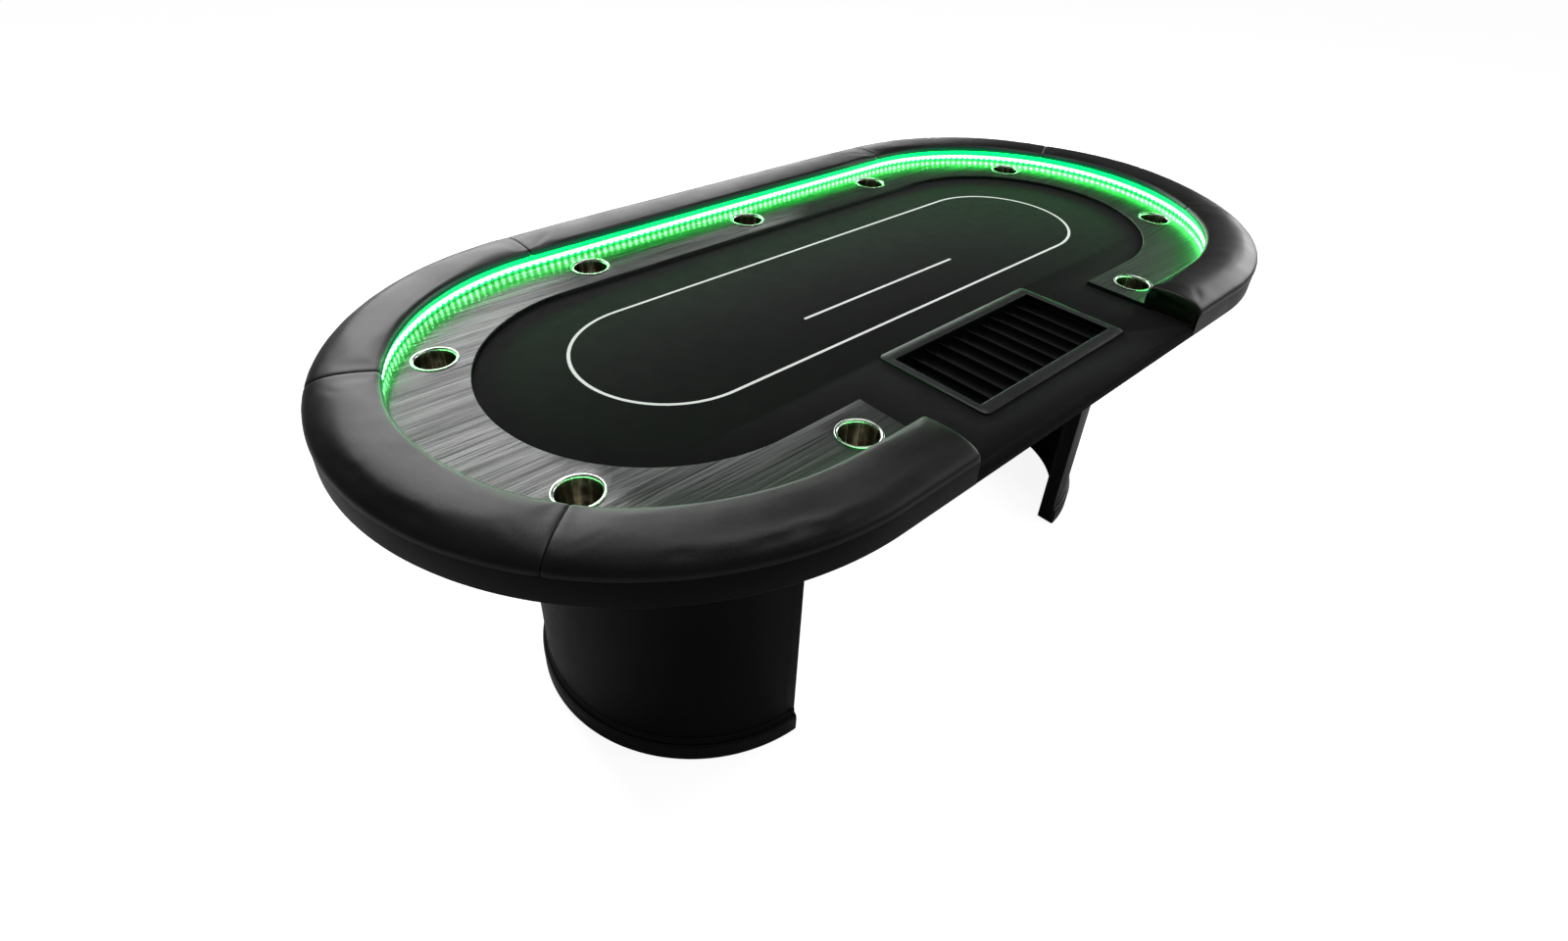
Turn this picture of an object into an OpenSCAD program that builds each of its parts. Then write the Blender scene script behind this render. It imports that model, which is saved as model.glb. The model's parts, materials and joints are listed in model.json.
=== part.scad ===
// Oval poker table: a padded rail round a wooden race track with nine lift-out
// cup holders, a lit rail wall, a cloth playing surface, a lift-out chip tray in
// the open dealer side, and two D-shaped shell legs.
// +X runs along the table, the dealer sits at -Y, +Z is up, and the origin is on
// the floor under the middle of the top.

/* [Table outline] */
// Distance from the middle of the table to the centre of each end arc
arc_x = 534; // [500:1:600]
// Outer radius of the padded rail
rail_r = 564; // [562:1:570]
// Outer radius of the apron band
apron_r = 562; // [560:0.5:562]
// Outer radius of the deck board and the rail's base boards
deck_r = 556; // [552:1:558]
// Radius of the lit wall under the rail
wall_r = 456; // [450:1:460]
// Radius of the rail's inner nose
nose_r = 446; // [442:1:450]
// Radius of the race track's inner edge
track_r = 318; // [300:1:330]
// Half width of the open dealer section
dealer_x = 363; // [330:1:400]

/* [Heights] */
// Height of the rail's crown above the floor
rail_top = 800; // [790:1:820]
// Height of the race track's top face
track_top = 755; // [753:1:756]
// Height of the deck board's underside
deck_bottom = 725; // [722:1:727]
// Thickness of the deck board
deck_t = 18; // [15:1:20]
// Thickness of the foam under the cloth
underlay_t = 3; // [2:0.5:4]
// Thickness of the cloth
cloth_t = 1.2; // [0.8:0.1:1.5]
// Height of the lower edge of the rail pads
pad_bottom = 772; // [768:1:774]
// Height of the underside of the rail's nose
nose_bottom = 781; // [779:1:784]

/* [Cup holders] */
// Outer radius of a cup holder's rim
cup_rim_r = 41.6; // [40:0.1:43]
// Inner radius of a cup holder
cup_r = 33.5; // [30:0.1:34]
// Depth of a cup holder below the race track
cup_depth = 58; // [45:1:60]
// Sheet thickness of a cup holder
cup_t = 1; // [0.8:0.1:1.2]

/* [Chip tray] */
// Half width of the tray's frame along the table
tray_x = 229; // [225:1:232]
// Distance from the middle of the table to the frame's far edge
tray_far = 240; // [235:1:245]
// Distance from the middle of the table to the frame's edge at the dealer
tray_near = 481; // [478:1:486]
// Width of the frame's lip
tray_lip = 19; // [15:1:20]
// Thickness of the frame's lip
tray_lip_t = 5.2; // [4:0.1:6]
// Radius of a chip groove
groove_r = 19.6; // [18:0.1:20]
// Spacing of the chip grooves
groove_pitch = 41.5; // [41:0.1:41.8]
// Number of chip grooves
groove_count = 10; // [8:1:10]

/* [Legs] */
// Distance from the middle of the table to the centre of a leg's curve
leg_x = 460; // [440:1:480]
// Outer radius of a leg's shell
leg_r = 341; // [320:1:345]
// Thickness of a leg's shell
leg_t = 36; // [30:1:40]
// Distance from a leg's centre line to its open front plane
leg_front = 25; // [20:1:40]
// Height of the plinth moulding
plinth_h = 58; // [50:1:70]
// How far the plinth stands out of the shell
plinth_out = 10; // [8:1:14]
// Height of the glides under a leg
glide_h = 3; // [2:0.5:5]

/* [Hidden] */
$fn = 96;
deck_top = deck_bottom + deck_t;
underlay_top = deck_top + underlay_t;
cloth_top = underlay_top + cloth_t;
// Clearance between the stacked parts of the rail
fit_gap = 0.04;
channel_t = 6;
base_inner_r = wall_r + channel_t;
base_h = pad_bottom - fit_gap - deck_top;
strip_t = 1;
strip_w = 8;
strip_low = track_top + 5;
track_gap = 0.5;
track_chamfer = 1.2;
end_skin = 3;
rail_end = dealer_x + end_skin;
// Seams of the rail's cover, in degrees from the table's long axis
seam_far = 24;
seam_near = -39;
seam_gap = 0.04;
// Shoulder radii of the rail's cross section, and where the nose's curve meets its underside
nose_round = 13;
shoulder_round = 26;
nose_z = rail_top - 1.5 - nose_round;
nose_angle = 180 + asin((nose_z - nose_bottom) / nose_round);
// Front edge of the top in the dealer section
edge_round = 12;
edge_y = apron_r - 1 - cloth_t;
edge_w = 20;
// Cup holders: round the far side, then the near side, from left to right
cup_mid_x = 436;
cup_mid_y = 385;
cup_end_x = 842;
cup_end_y = 229;
cup_places = [
    [-cup_end_x, cup_end_y], [-cup_mid_x, cup_mid_y], [0, cup_mid_y],
    [cup_mid_x, cup_mid_y], [cup_end_x, cup_end_y],
    [-cup_end_x, -cup_end_y], [-cup_mid_x, -cup_mid_y],
    [cup_mid_x, -cup_mid_y], [cup_end_x, -cup_end_y]
];
cup_hole_r = cup_r + cup_t + 2;
rim_gap = 0.2;
rim_t = 2;
// Chip tray
pan_t = 2;
collar_t = 1.5;
tray_gap = 0.3;
tray_low = underlay_top + tray_gap;
tray_top = tray_low + tray_lip_t;
pan_x = tray_x - tray_lip + pan_t;
pan_far = tray_far + tray_lip + 7 - pan_t;
pan_near = tray_near - tray_lip - 9 + pan_t;
pan_hole = 1.5;
ridge_z = tray_top - 12;
collar_h = 14;
corner_r = 12;
well_x = pan_x + collar_t + pan_hole;
well_far = pan_far - collar_t - pan_hole;
well_near = pan_near + collar_t + pan_hole;
table_x = arc_x + rail_r;
// Legs
skin_t = 6;
post_w = 22;
rib_h = 32;
stud_angle = 7;
stud_places = [-50, 0, 50];
plate_t = 18;
bolt_r = 4;
bolt_places = [[110, -150], [110, 150], [210, -80], [210, 80]];
glide_r = 12;
glide_places = [-72, 0, 72];
// Rail bolts: along the straight sides, and round the ends in degrees
rail_bolt_r = 3;
rail_bolt_line = (base_inner_r + deck_r) / 2;
rail_bolt_x = [-400, -200, 0, 200, 400];
rail_bolt_angles = [-84, -56, -28, 0, 28, 56, 84];
// Light controller under the dealer's edge
box_x = -290;
box_y = -505;
box_size = [100, 50, 24];
box_wall = 2;
lid_t = 2;
box_front = box_y - box_size[1] / 2;
switch_x = box_x - 22;
switch_z = deck_bottom - 12.5;
switch_hole = [19, 13];
switch_tilt = 8;
rocker_w = 17;
rocker_pin = 18.6;
inlet_x = box_x + 24;
inlet_z = deck_bottom - 12;
inlet_r = 4.8;
lead_r = 2;
lead_x = -374;
lead_y = -451;
lead_z = deck_bottom - 5;
clip_h = 9;

// ---- Outlines shared by the layers of the top ----

// The table's outline, offset to radius r round its two arc centres
module stadium(r) {
    for (side = [-1, 1]) translate([side * arc_x, 0]) circle(r = r);
    square([2 * arc_x, 2 * r], center = true);
}

// The opening of the dealer section, half width x, from depth y outwards
module dealer_gap(x, y) {
    translate([-x, -rail_r - 20]) square([2 * x, rail_r + 20 - y]);
}

// A band round the table from radius r0 to r1, open at the dealer section, half width x
module open_band(r0, r1, z0, z1, x = dealer_x) {
    translate([0, 0, z0]) linear_extrude(z1 - z0) difference() {
        stadium(r1);
        stadium(r0);
        dealer_gap(x, 0);
    }
}

// A stadium whose radius grows from r0 to r1 over height h
module stadium_taper(r0, r1, h) {
    for (side = [-1, 1]) translate([side * arc_x, 0, 0]) cylinder(r1 = r0, r2 = r1, h = h);
    translate([-arc_x, 0, 0]) rotate([90, 0, 90]) linear_extrude(2 * arc_x)
        polygon([[-r0, 0], [r0, 0], [r1, h], [-r1, h]]);
}

// The rectangle of the chip tray's well, grown by g
module tray_well(g) {
    translate([-pan_x - g, -pan_near - g]) square([2 * (pan_x + g), pan_near - pan_far + 2 * g]);
}

// The outline of the tray's frame, grown by g
module tray_outline(g) {
    rounded_plate(-tray_x - g, -tray_near - g, tray_x + g, -tray_far + g, corner_r);
}

function arc_points(c, r, a0, a1, n) =
    [for (i = [0:n]) c + r * [cos(a0 + (a1 - a0) * i / n), sin(a0 + (a1 - a0) * i / n)]];

// ---- Deck and playing surface ----

module cup_holes(z0, z1) {
    for (place = cup_places) translate([place[0], place[1], z0]) cylinder(r = cup_hole_r, h = z1 - z0);
}

// One board of the deck, kept between two corners. Four boards meet round the tray's well.
module deck_board(x0, y0, x1, y1) {
    color("dimgray") difference() {
        translate([0, 0, deck_bottom]) linear_extrude(deck_t) intersection() {
            difference() {
                stadium(deck_r);
                dealer_gap(dealer_x, edge_y - edge_w);
            }
            translate([x0, y0]) square([x1 - x0, y1 - y0]);
        }
        cup_holes(deck_bottom - 1, deck_top + 1);
        rail_bolt_holes(deck_bottom - 1, deck_top + 1);
        for (side = [-1, 1]) leg_frame(side) leg_bolt_holes(deck_bottom - 1, deck_top + 1);
        translate([lead_x, lead_y, deck_bottom - 1]) cylinder(r = lead_r + 1, h = deck_t + 2);
    }
}

module deck_end_boards() {
    deck_board(-table_x, -rail_r, -well_x, rail_r);
    deck_board(well_x, -rail_r, table_x, rail_r);
}

module race_track() {
    color("#2b2b2c") difference() {
        open_band(track_r, base_inner_r, deck_top, track_top);
        cup_holes(deck_top - 1, track_top + 1);
        translate([0, 0, track_top - track_chamfer])
            stadium_taper(track_r, track_r + track_chamfer + 0.01, track_chamfer + 0.01);
        translate([lead_x, lead_y, deck_top - 1]) cylinder(r = lead_r + 1, h = track_top - deck_top + 2);
    }
}

// The sheet inside the race track and out to the dealer's edge, with a hole of the child's shape
module play_area() {
    far_edge = edge_y - edge_w;
    difference() {
        union() {
            stadium(track_r - track_gap);
            translate([track_gap - dealer_x, -far_edge]) square([2 * (dealer_x - track_gap), far_edge]);
        }
        children();
    }
}

module cloth_underlay() {
    color("#3a3a3a") translate([0, 0, deck_top]) linear_extrude(underlay_t)
        play_area() tray_well(collar_t + pan_hole);
}

// Cross section of the dealer's edge, as (y, z), with a rounded upper corner
function edge_outline(r, y) = concat(
    [[-edge_y + edge_w, deck_bottom], [-y, deck_bottom]],
    arc_points([-edge_y + edge_round, underlay_top - edge_round], r, 180, 90, 8),
    [[-edge_y + edge_w, underlay_top - edge_round + r]]
);

module dealer_edge() {
    color("#4a4038") translate([track_gap - dealer_x, 0, 0]) rotate([90, 0, 90])
        linear_extrude(2 * (dealer_x - track_gap)) polygon(edge_outline(edge_round, edge_y));
}

module playing_cloth() {
    color("#131416") union() {
        translate([0, 0, underlay_top]) linear_extrude(cloth_t) play_area() tray_outline(tray_gap);
        translate([track_gap - dealer_x, 0, 0]) rotate([90, 0, 90])
            linear_extrude(2 * (dealer_x - track_gap)) difference() {
                polygon(edge_outline(edge_round + cloth_t, edge_y + cloth_t));
                polygon(edge_outline(edge_round, edge_y));
            }
    }
}

module apron_band() {
    color("#161616") open_band(deck_r, apron_r, deck_bottom, pad_bottom - fit_gap);
}

// Two long battens and two splice blocks hold the deck's boards together
module deck_battens() {
    color("#4a4038") for (side = [-1, 1]) {
        translate([-465, side * 200 - 22, deck_bottom - 30]) cube([930, 44, 30]);
        translate([side * well_x - 23, -532, deck_bottom - 18]) cube([46, 60, 18]);
    }
}

// ---- Padded rail ----

module light_channel() {
    color("#1d4a2c") open_band(wall_r, base_inner_r, track_top, nose_bottom - fit_gap, rail_end);
}

module led_strip() {
    color("#30ff70") open_band(wall_r - strip_t, wall_r, strip_low, strip_low + strip_w, rail_end);
}

// One M6 bolt place every few hundred millimetres round the rail
module at_rail_bolts() {
    for (x = rail_bolt_x) translate([x, rail_bolt_line, 0]) children();
    for (side = [-1, 1]) {
        for (a = rail_bolt_angles)
            translate([side * (arc_x + rail_bolt_line * cos(a)), rail_bolt_line * sin(a), 0]) children();
        translate([side * 410, -rail_bolt_line, 0]) children();
    }
}

module rail_bolt_holes(z0, z1) {
    at_rail_bolts() translate([0, 0, z0]) cylinder(r = rail_bolt_r + 0.2, h = z1 - z0, $fn = 24);
}

module rail_bolts() {
    color("silver") at_rail_bolts() union() {
        translate([0, 0, deck_bottom - 4]) cylinder(r = 6.5, h = 4, $fn = 6);
        translate([0, 0, deck_bottom]) cylinder(r = rail_bolt_r, h = 38, $fn = 24);
    }
}

module rail_base_far() {
    color("#6b5636") difference() {
        translate([-arc_x, base_inner_r, deck_top])
            cube([2 * arc_x, deck_r - base_inner_r, base_h]);
        rail_bolt_holes(deck_top - 1, deck_bottom + 40);
    }
}

module rail_base_end(side) {
    color("#6b5636") difference() {
        on_side(side) translate([0, 0, deck_top]) linear_extrude(base_h) difference() {
            intersection() {
                stadium(deck_r);
                translate([rail_end, -rail_r]) square([2 * arc_x, 2 * rail_r]);
            }
            stadium(base_inner_r);
            translate([rail_end - 1, 0]) square([arc_x - rail_end + 1, rail_r]);
        }
        rail_bolt_holes(deck_top - 1, deck_bottom + 40);
    }
}

// Cross section of the padded rail, as (radius, height)
pad_outline = concat(
    [[base_inner_r, pad_bottom], [base_inner_r, nose_bottom]],
    arc_points([nose_r + nose_round, nose_z], nose_round, nose_angle, 92, 9),
    [[(nose_r + rail_r) / 2, rail_top]],
    arc_points([rail_r - shoulder_round, rail_top - 0.5 - shoulder_round], shoulder_round, 86, 0, 9),
    [[rail_r, pad_bottom + 1], [rail_r - 1, pad_bottom]]
);

// A length of pad along a straight side at +Y, from x0 to x1
module pad_straight(x0, x1) {
    translate([x0, 0, 0]) rotate([90, 0, 90]) linear_extrude(x1 - x0) polygon(pad_outline);
}

// A length of pad round the right-hand end, between two angles
module pad_arc(a0, a1) {
    translate([arc_x, 0, 0]) rotate([0, 0, a0]) rotate_extrude(angle = a1 - a0, $fn = 180)
        polygon(pad_outline);
}

module on_side(side) {
    if (side > 0) children();
    else mirror([1, 0, 0]) children();
}

module rail_pad_far() {
    color("#1a1a1c") pad_straight(0.2 - arc_x, arc_x - 0.2);
}

module rail_pad_far_end(side) {
    color("#1a1a1c") on_side(side) pad_arc(seam_far + seam_gap, 90 - seam_gap);
}

module rail_pad_end(side) {
    color("#1a1a1c") on_side(side) pad_arc(seam_near + seam_gap, seam_far - seam_gap);
}

// The pad next to the dealer also covers the cut ends of the rail's base and lit wall
module rail_pad_near_end(side) {
    color("#1a1a1c") on_side(side) union() {
        pad_arc(-90, seam_near - seam_gap);
        mirror([0, 1, 0]) pad_straight(dealer_x, arc_x);
        translate([dealer_x, -deck_r, deck_top + 5])
            cube([end_skin, deck_r - base_inner_r, pad_bottom - deck_top - 5]);
        translate([dealer_x, -base_inner_r, track_top + fit_gap])
            cube([end_skin, base_inner_r - nose_r - 2, nose_bottom - track_top]);
    }
}

// ---- Cup holders ----

// A drawn cup with a flat rolled rim that rests on the race track
module cup_holder(index) {
    place = cup_places[index];
    floor_z = track_top - cup_depth;
    rim_low = track_top + rim_gap;
    color("lightsteelblue") translate([place[0], place[1], 0]) rotate_extrude() polygon(concat(
        [[0, floor_z], [cup_r + cup_t, floor_z], [cup_r + cup_t, rim_low], [cup_rim_r, rim_low]],
        arc_points([cup_rim_r - 1, rim_low + 1], 1, 0, 90, 4),
        arc_points([cup_r + 2.4, rim_low + rim_t - 2.4], 2.4, 90, 180, 5),
        [[cup_r, floor_z + cup_t], [0, floor_z + cup_t]]
    ));
}

// ---- Chip tray ----

// A rectangle with rounded corners, given by its low and high corners
module rounded_plate(x0, y0, x1, y1, r) {
    for (x = [x0 + r, x1 - r], y = [y0 + r, y1 - r]) translate([x, y]) circle(r = r);
    translate([x0 + r, y0]) square([x1 - x0 - 2 * r, y1 - y0]);
    translate([x0, y0 + r]) square([x1 - x0, y1 - y0 - 2 * r]);
}

module chip_tray_frame() {
    color("#26272a") union() {
        translate([0, 0, tray_low]) linear_extrude(tray_lip_t) difference() {
            rounded_plate(-tray_x, -tray_near, tray_x, -tray_far, corner_r);
            tray_well(0);
        }
        translate([0, 0, tray_low - collar_h]) linear_extrude(collar_h) difference() {
            tray_well(collar_t);
            tray_well(0);
        }
    }
}

function groove_x(i) = (i - (groove_count - 1) / 2) * groove_pitch;

// The row of round chip rows, as (x, z), at radius r
module groove_circles(r) {
    for (i = [0:groove_count - 1]) translate([groove_x(i), ridge_z]) circle(r = r);
}

// Everything below the ridges, out to the backs of the troughs
module groove_backs() {
    translate([-pan_x, ridge_z - pan_t]) square([2 * pan_x, pan_t]);
    intersection() {
        groove_circles(groove_r + pan_t);
        translate([-pan_x, ridge_z - 40]) square([2 * pan_x, 40]);
    }
}

module chip_tray_pan() {
    color("#1c1d20") union() {
        translate([0, -pan_far, 0]) rotate([90, 0, 0]) linear_extrude(pan_near - pan_far) difference() {
            groove_backs();
            groove_circles(groove_r);
        }
        translate([0, 0, ridge_z]) linear_extrude(tray_top - 1 - ridge_z) difference() {
            tray_well(0);
            tray_well(-pan_t);
        }
        for (y = [-pan_far, pan_t - pan_near])
            translate([0, y, 0]) rotate([90, 0, 0]) linear_extrude(pan_t) groove_backs();
    }
}

// ---- Light controller under the deck ----

module box_frame() {
    translate([box_x, box_y, deck_bottom - box_size[2]]) children();
}

// A block of the case's outline, with each wall moved in by w, from height z0 to z1
module box_block(w, z0, z1) {
    box_frame() translate([w - box_size[0] / 2, w - box_size[1] / 2, z0])
        cube([box_size[0] - 2 * w, box_size[1] - 2 * w, z1 - z0]);
}

module controller_case() {
    color("#202020") difference() {
        box_block(0, lid_t, box_size[2]);
        box_block(box_wall, lid_t - 1, box_size[2] - box_wall);
        translate([switch_x - switch_hole[0] / 2, box_front - 1, switch_z - switch_hole[1] / 2])
            cube([switch_hole[0], box_wall + 2, switch_hole[1]]);
        translate([inlet_x, box_front - 1, inlet_z]) rotate([-90, 0, 0])
            cylinder(r = inlet_r + 0.2, h = box_wall + 2);
        translate([box_x - box_size[0] / 2 - 1, box_y, lead_z]) rotate([0, 90, 0])
            cylinder(r = lead_r + 0.3, h = box_wall + 2);
    }
}

module controller_lid() {
    color("#2a2a2a") box_block(0, 0, lid_t);
}

// Circuit board with its driver chips, on four pillars from the lid
module controller_board() {
    color("#1d5c34") box_frame() union() {
        translate([-38, -8, lid_t + 4]) cube([76, 28, 1.6]);
        for (x = [-20, 0, 20]) translate([x - 4, 2, lid_t + 5.6]) cube([8, 8, 3]);
        for (x = [-34, 34], y = [-5, 17]) translate([x, y, lid_t]) cylinder(r = 2, h = 4);
    }
}

// A rocker with two sloping faces on a thin pivot pin, lying in its on position
module rocker_switch() {
    color("#c02020") translate([switch_x, box_front, switch_z]) rotate([switch_tilt, 0, 0])
        rotate([90, 0, 90]) union() {
            translate([0, 0, -rocker_w / 2]) linear_extrude(rocker_w)
                polygon([[-2.2, -5.2], [4.5, -4], [4.5, 4], [-2.2, 5.2], [-1, 0]]);
            translate([0, 0, -rocker_pin / 2]) cylinder(r = 0.8, h = rocker_pin, $fn = 24);
        }
}

module power_inlet() {
    color("#111111") translate([inlet_x, box_front, inlet_z]) rotate([-90, 0, 0]) {
        difference() {
            union() {
                translate([0, 0, -1.5]) cylinder(r = 7, h = 1.5);
                cylinder(r = inlet_r, h = 12);
            }
            translate([0, 0, -2]) cylinder(r = 2.9, h = 11);
        }
        translate([0, 0, -0.5]) cylinder(r = 1, h = 10, $fn = 24);
    }
}

// Lead from the end of the LED strip, down through the top and along to the controller
module led_lead() {
    color("#1a1a1a") union() {
        translate([lead_x, lead_y, lead_z]) cylinder(r = lead_r, h = strip_low - lead_z);
        translate([lead_x, lead_y, lead_z]) sphere(r = lead_r);
        translate([lead_x, lead_y, lead_z]) rotate([90, 0, 0]) cylinder(r = lead_r, h = lead_y - box_y);
        translate([lead_x, box_y, lead_z]) sphere(r = lead_r);
        translate([lead_x, box_y, lead_z]) rotate([0, 90, 0])
            cylinder(r = lead_r, h = box_x - box_size[0] / 2 + 6 - lead_x);
    }
}

module lead_clips() {
    color("#dddddd") for (y = [-470, -492]) difference() {
        translate([lead_x - 7, y - 3, deck_bottom - clip_h]) cube([14, 6, clip_h]);
        translate([lead_x, y + 4, lead_z]) rotate([90, 0, 0]) cylinder(r = lead_r + 0.2, h = 8);
        translate([lead_x - lead_r - 0.2, y - 4, lead_z]) cube([2 * lead_r + 0.4, 8, clip_h]);
    }
}

// ---- Legs ----

// A leg's own frame: origin under its curve's centre, +X away from the table's middle
module leg_frame(side) {
    on_side(side) translate([leg_x, 0, 0]) children();
}

// A curved wall from radius r0 to r1, kept where x is between x0 and x1
module curved_wall(r0, r1, x0, x1, z0, z1) {
    intersection() {
        translate([0, 0, z0]) difference() {
            cylinder(r = r1, h = z1 - z0);
            translate([0, 0, -1]) cylinder(r = r0, h = z1 - z0 + 2);
        }
        translate([x0, -leg_r - 50, z0 - 1]) cube([x1 - x0, 2 * leg_r + 100, z1 - z0 + 2]);
    }
}

skin_x = leg_front + post_w;
leg_in = leg_r - leg_t;

module leg_outer_skin(side) {
    color("#161618") leg_frame(side)
        curved_wall(leg_r - skin_t, leg_r, skin_x, leg_r + 1, glide_h, deck_bottom);
}

module leg_inner_skin(side) {
    color("#161618") leg_frame(side)
        curved_wall(leg_in, leg_in + skin_t, skin_x, leg_r + 1, glide_h, deck_bottom);
}

module leg_end_posts(side) {
    color("#161618") leg_frame(side)
        curved_wall(leg_in, leg_r, leg_front, skin_x, glide_h, deck_bottom);
}

module leg_rib(side, z0, z1) {
    color("#6b5636") leg_frame(side)
        curved_wall(leg_in + skin_t, leg_r - skin_t, skin_x, leg_r + 1, z0, z1);
}

module leg_studs(side) {
    color("#6b5636") leg_frame(side) for (a = stud_places)
        rotate([0, 0, a - stud_angle / 2]) rotate_extrude(angle = stud_angle, $fn = 180)
            translate([leg_in + skin_t, glide_h + rib_h])
                square([leg_t - 2 * skin_t, deck_bottom - glide_h - 2 * rib_h]);
}

// Stepped base moulding round the outside of the shell
module leg_plinth(side) {
    top = glide_h + plinth_h;
    color("#101012") leg_frame(side) intersection() {
        rotate_extrude($fn = 180) polygon(concat(
            [[leg_r, glide_h], [leg_r + plinth_out, glide_h], [leg_r + plinth_out, top - 20],
             [leg_r + plinth_out - 1.5, top - 18], [leg_r + plinth_out - 1.5, top - 14]],
            arc_points([leg_r + plinth_out - 1.5, top - 7], 7, 270, 180, 6),
            [[leg_r + 1.5, top - 5], [leg_r + 1.5, top - 1.5], [leg_r, top]]
        ));
        translate([leg_front, -leg_r - 50, 0]) cube([leg_r + 50, 2 * leg_r + 100, 200]);
    }
}

module leg_bolt_holes(z0, z1) {
    for (place = bolt_places) translate([place[0], place[1], z0])
        cylinder(r = bolt_r + 0.2, h = z1 - z0, $fn = 24);
}

// Half-round board inside the shell that carries the deck
module leg_top_plate(side) {
    color("#4a4038") leg_frame(side) difference() {
        intersection() {
            translate([0, 0, deck_bottom - plate_t]) cylinder(r = leg_in, h = plate_t);
            translate([leg_front, -leg_r, 0]) cube([leg_r, 2 * leg_r, deck_bottom + 1]);
        }
        leg_bolt_holes(deck_bottom - plate_t - 1, deck_bottom + 1);
    }
}

module leg_bolts(side) {
    color("silver") leg_frame(side) for (place = bolt_places) translate([place[0], place[1], 0]) union() {
        translate([0, 0, deck_bottom - plate_t - 6]) cylinder(r = 7.5, h = 6, $fn = 6);
        translate([0, 0, deck_bottom - plate_t]) cylinder(r = bolt_r, h = plate_t + 14, $fn = 24);
    }
}

module leg_glides(side) {
    color("#303030") leg_frame(side) for (a = glide_places)
        translate([(leg_r - leg_t / 2) * cos(a), (leg_r - leg_t / 2) * sin(a), 0])
            cylinder(r = glide_r, h = glide_h);
}

deck_end_boards();
deck_board(-well_x, -well_far, well_x, rail_r);  // deck_far_board
deck_board(-well_x, -rail_r, well_x, -well_near);  // deck_near_board
race_track();
cloth_underlay();
playing_cloth();
dealer_edge();
apron_band();
light_channel();
led_strip();
rail_base_far();
rail_base_end(-1);  // rail_base_left
rail_base_end(1);  // rail_base_right
rail_pad_far();
rail_pad_far_end(-1);  // rail_pad_far_left
rail_pad_far_end(1);  // rail_pad_far_right
rail_pad_end(-1);  // rail_pad_left
rail_pad_end(1);  // rail_pad_right
rail_pad_near_end(-1);  // rail_pad_near_left
rail_pad_near_end(1);  // rail_pad_near_right
cup_holder(0);  // cup_holder_1
cup_holder(1);  // cup_holder_2
cup_holder(2);  // cup_holder_3
cup_holder(3);  // cup_holder_4
cup_holder(4);  // cup_holder_5
cup_holder(5);  // cup_holder_6
cup_holder(6);  // cup_holder_7
cup_holder(7);  // cup_holder_8
cup_holder(8);  // cup_holder_9
chip_tray_frame();
chip_tray_pan();
deck_battens();
rail_bolts();
controller_case();
controller_lid();
controller_board();
rocker_switch();
power_inlet();
led_lead();
lead_clips();
leg_outer_skin(-1);  // left_leg_outer_skin
leg_inner_skin(-1);  // left_leg_inner_skin
leg_end_posts(-1);  // left_leg_end_posts
leg_studs(-1);  // left_leg_studs
leg_rib(-1, deck_bottom - rib_h, deck_bottom);  // left_leg_top_rib
leg_rib(-1, glide_h, glide_h + rib_h);  // left_leg_bottom_rib
leg_plinth(-1);  // left_leg_plinth
leg_top_plate(-1);  // left_leg_top_plate
leg_bolts(-1);  // left_leg_bolts
leg_glides(-1);  // left_leg_glides
leg_outer_skin(1);  // right_leg_outer_skin
leg_inner_skin(1);  // right_leg_inner_skin
leg_end_posts(1);  // right_leg_end_posts
leg_studs(1);  // right_leg_studs
leg_rib(1, deck_bottom - rib_h, deck_bottom);  // right_leg_top_rib
leg_rib(1, glide_h, glide_h + rib_h);  // right_leg_bottom_rib
leg_plinth(1);  // right_leg_plinth
leg_top_plate(1);  // right_leg_top_plate
leg_bolts(1);  // right_leg_bolts
leg_glides(1);  // right_leg_glides
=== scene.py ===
"""The looks of an oval poker table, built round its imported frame: metres, dealer at -Y."""
import json
import math
import bmesh
import bpy
from mathutils import Matrix, Vector, geometry, noise


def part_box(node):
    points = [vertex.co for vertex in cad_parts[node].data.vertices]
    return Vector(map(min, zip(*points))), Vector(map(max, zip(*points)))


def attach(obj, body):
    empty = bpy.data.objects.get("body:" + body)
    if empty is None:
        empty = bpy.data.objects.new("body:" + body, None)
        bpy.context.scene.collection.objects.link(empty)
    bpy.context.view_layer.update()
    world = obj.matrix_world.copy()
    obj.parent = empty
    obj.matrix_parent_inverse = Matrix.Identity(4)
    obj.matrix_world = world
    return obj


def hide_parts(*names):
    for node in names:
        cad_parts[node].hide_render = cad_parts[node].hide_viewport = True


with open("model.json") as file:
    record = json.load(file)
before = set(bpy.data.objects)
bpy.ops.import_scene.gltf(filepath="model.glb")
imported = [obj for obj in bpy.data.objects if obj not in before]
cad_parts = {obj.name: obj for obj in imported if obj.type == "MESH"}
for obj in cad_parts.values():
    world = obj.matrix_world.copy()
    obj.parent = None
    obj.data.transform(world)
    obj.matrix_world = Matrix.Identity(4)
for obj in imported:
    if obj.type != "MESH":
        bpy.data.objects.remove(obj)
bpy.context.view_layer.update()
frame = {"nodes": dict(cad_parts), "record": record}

# ---- Sizes, read from the frame ----

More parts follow.
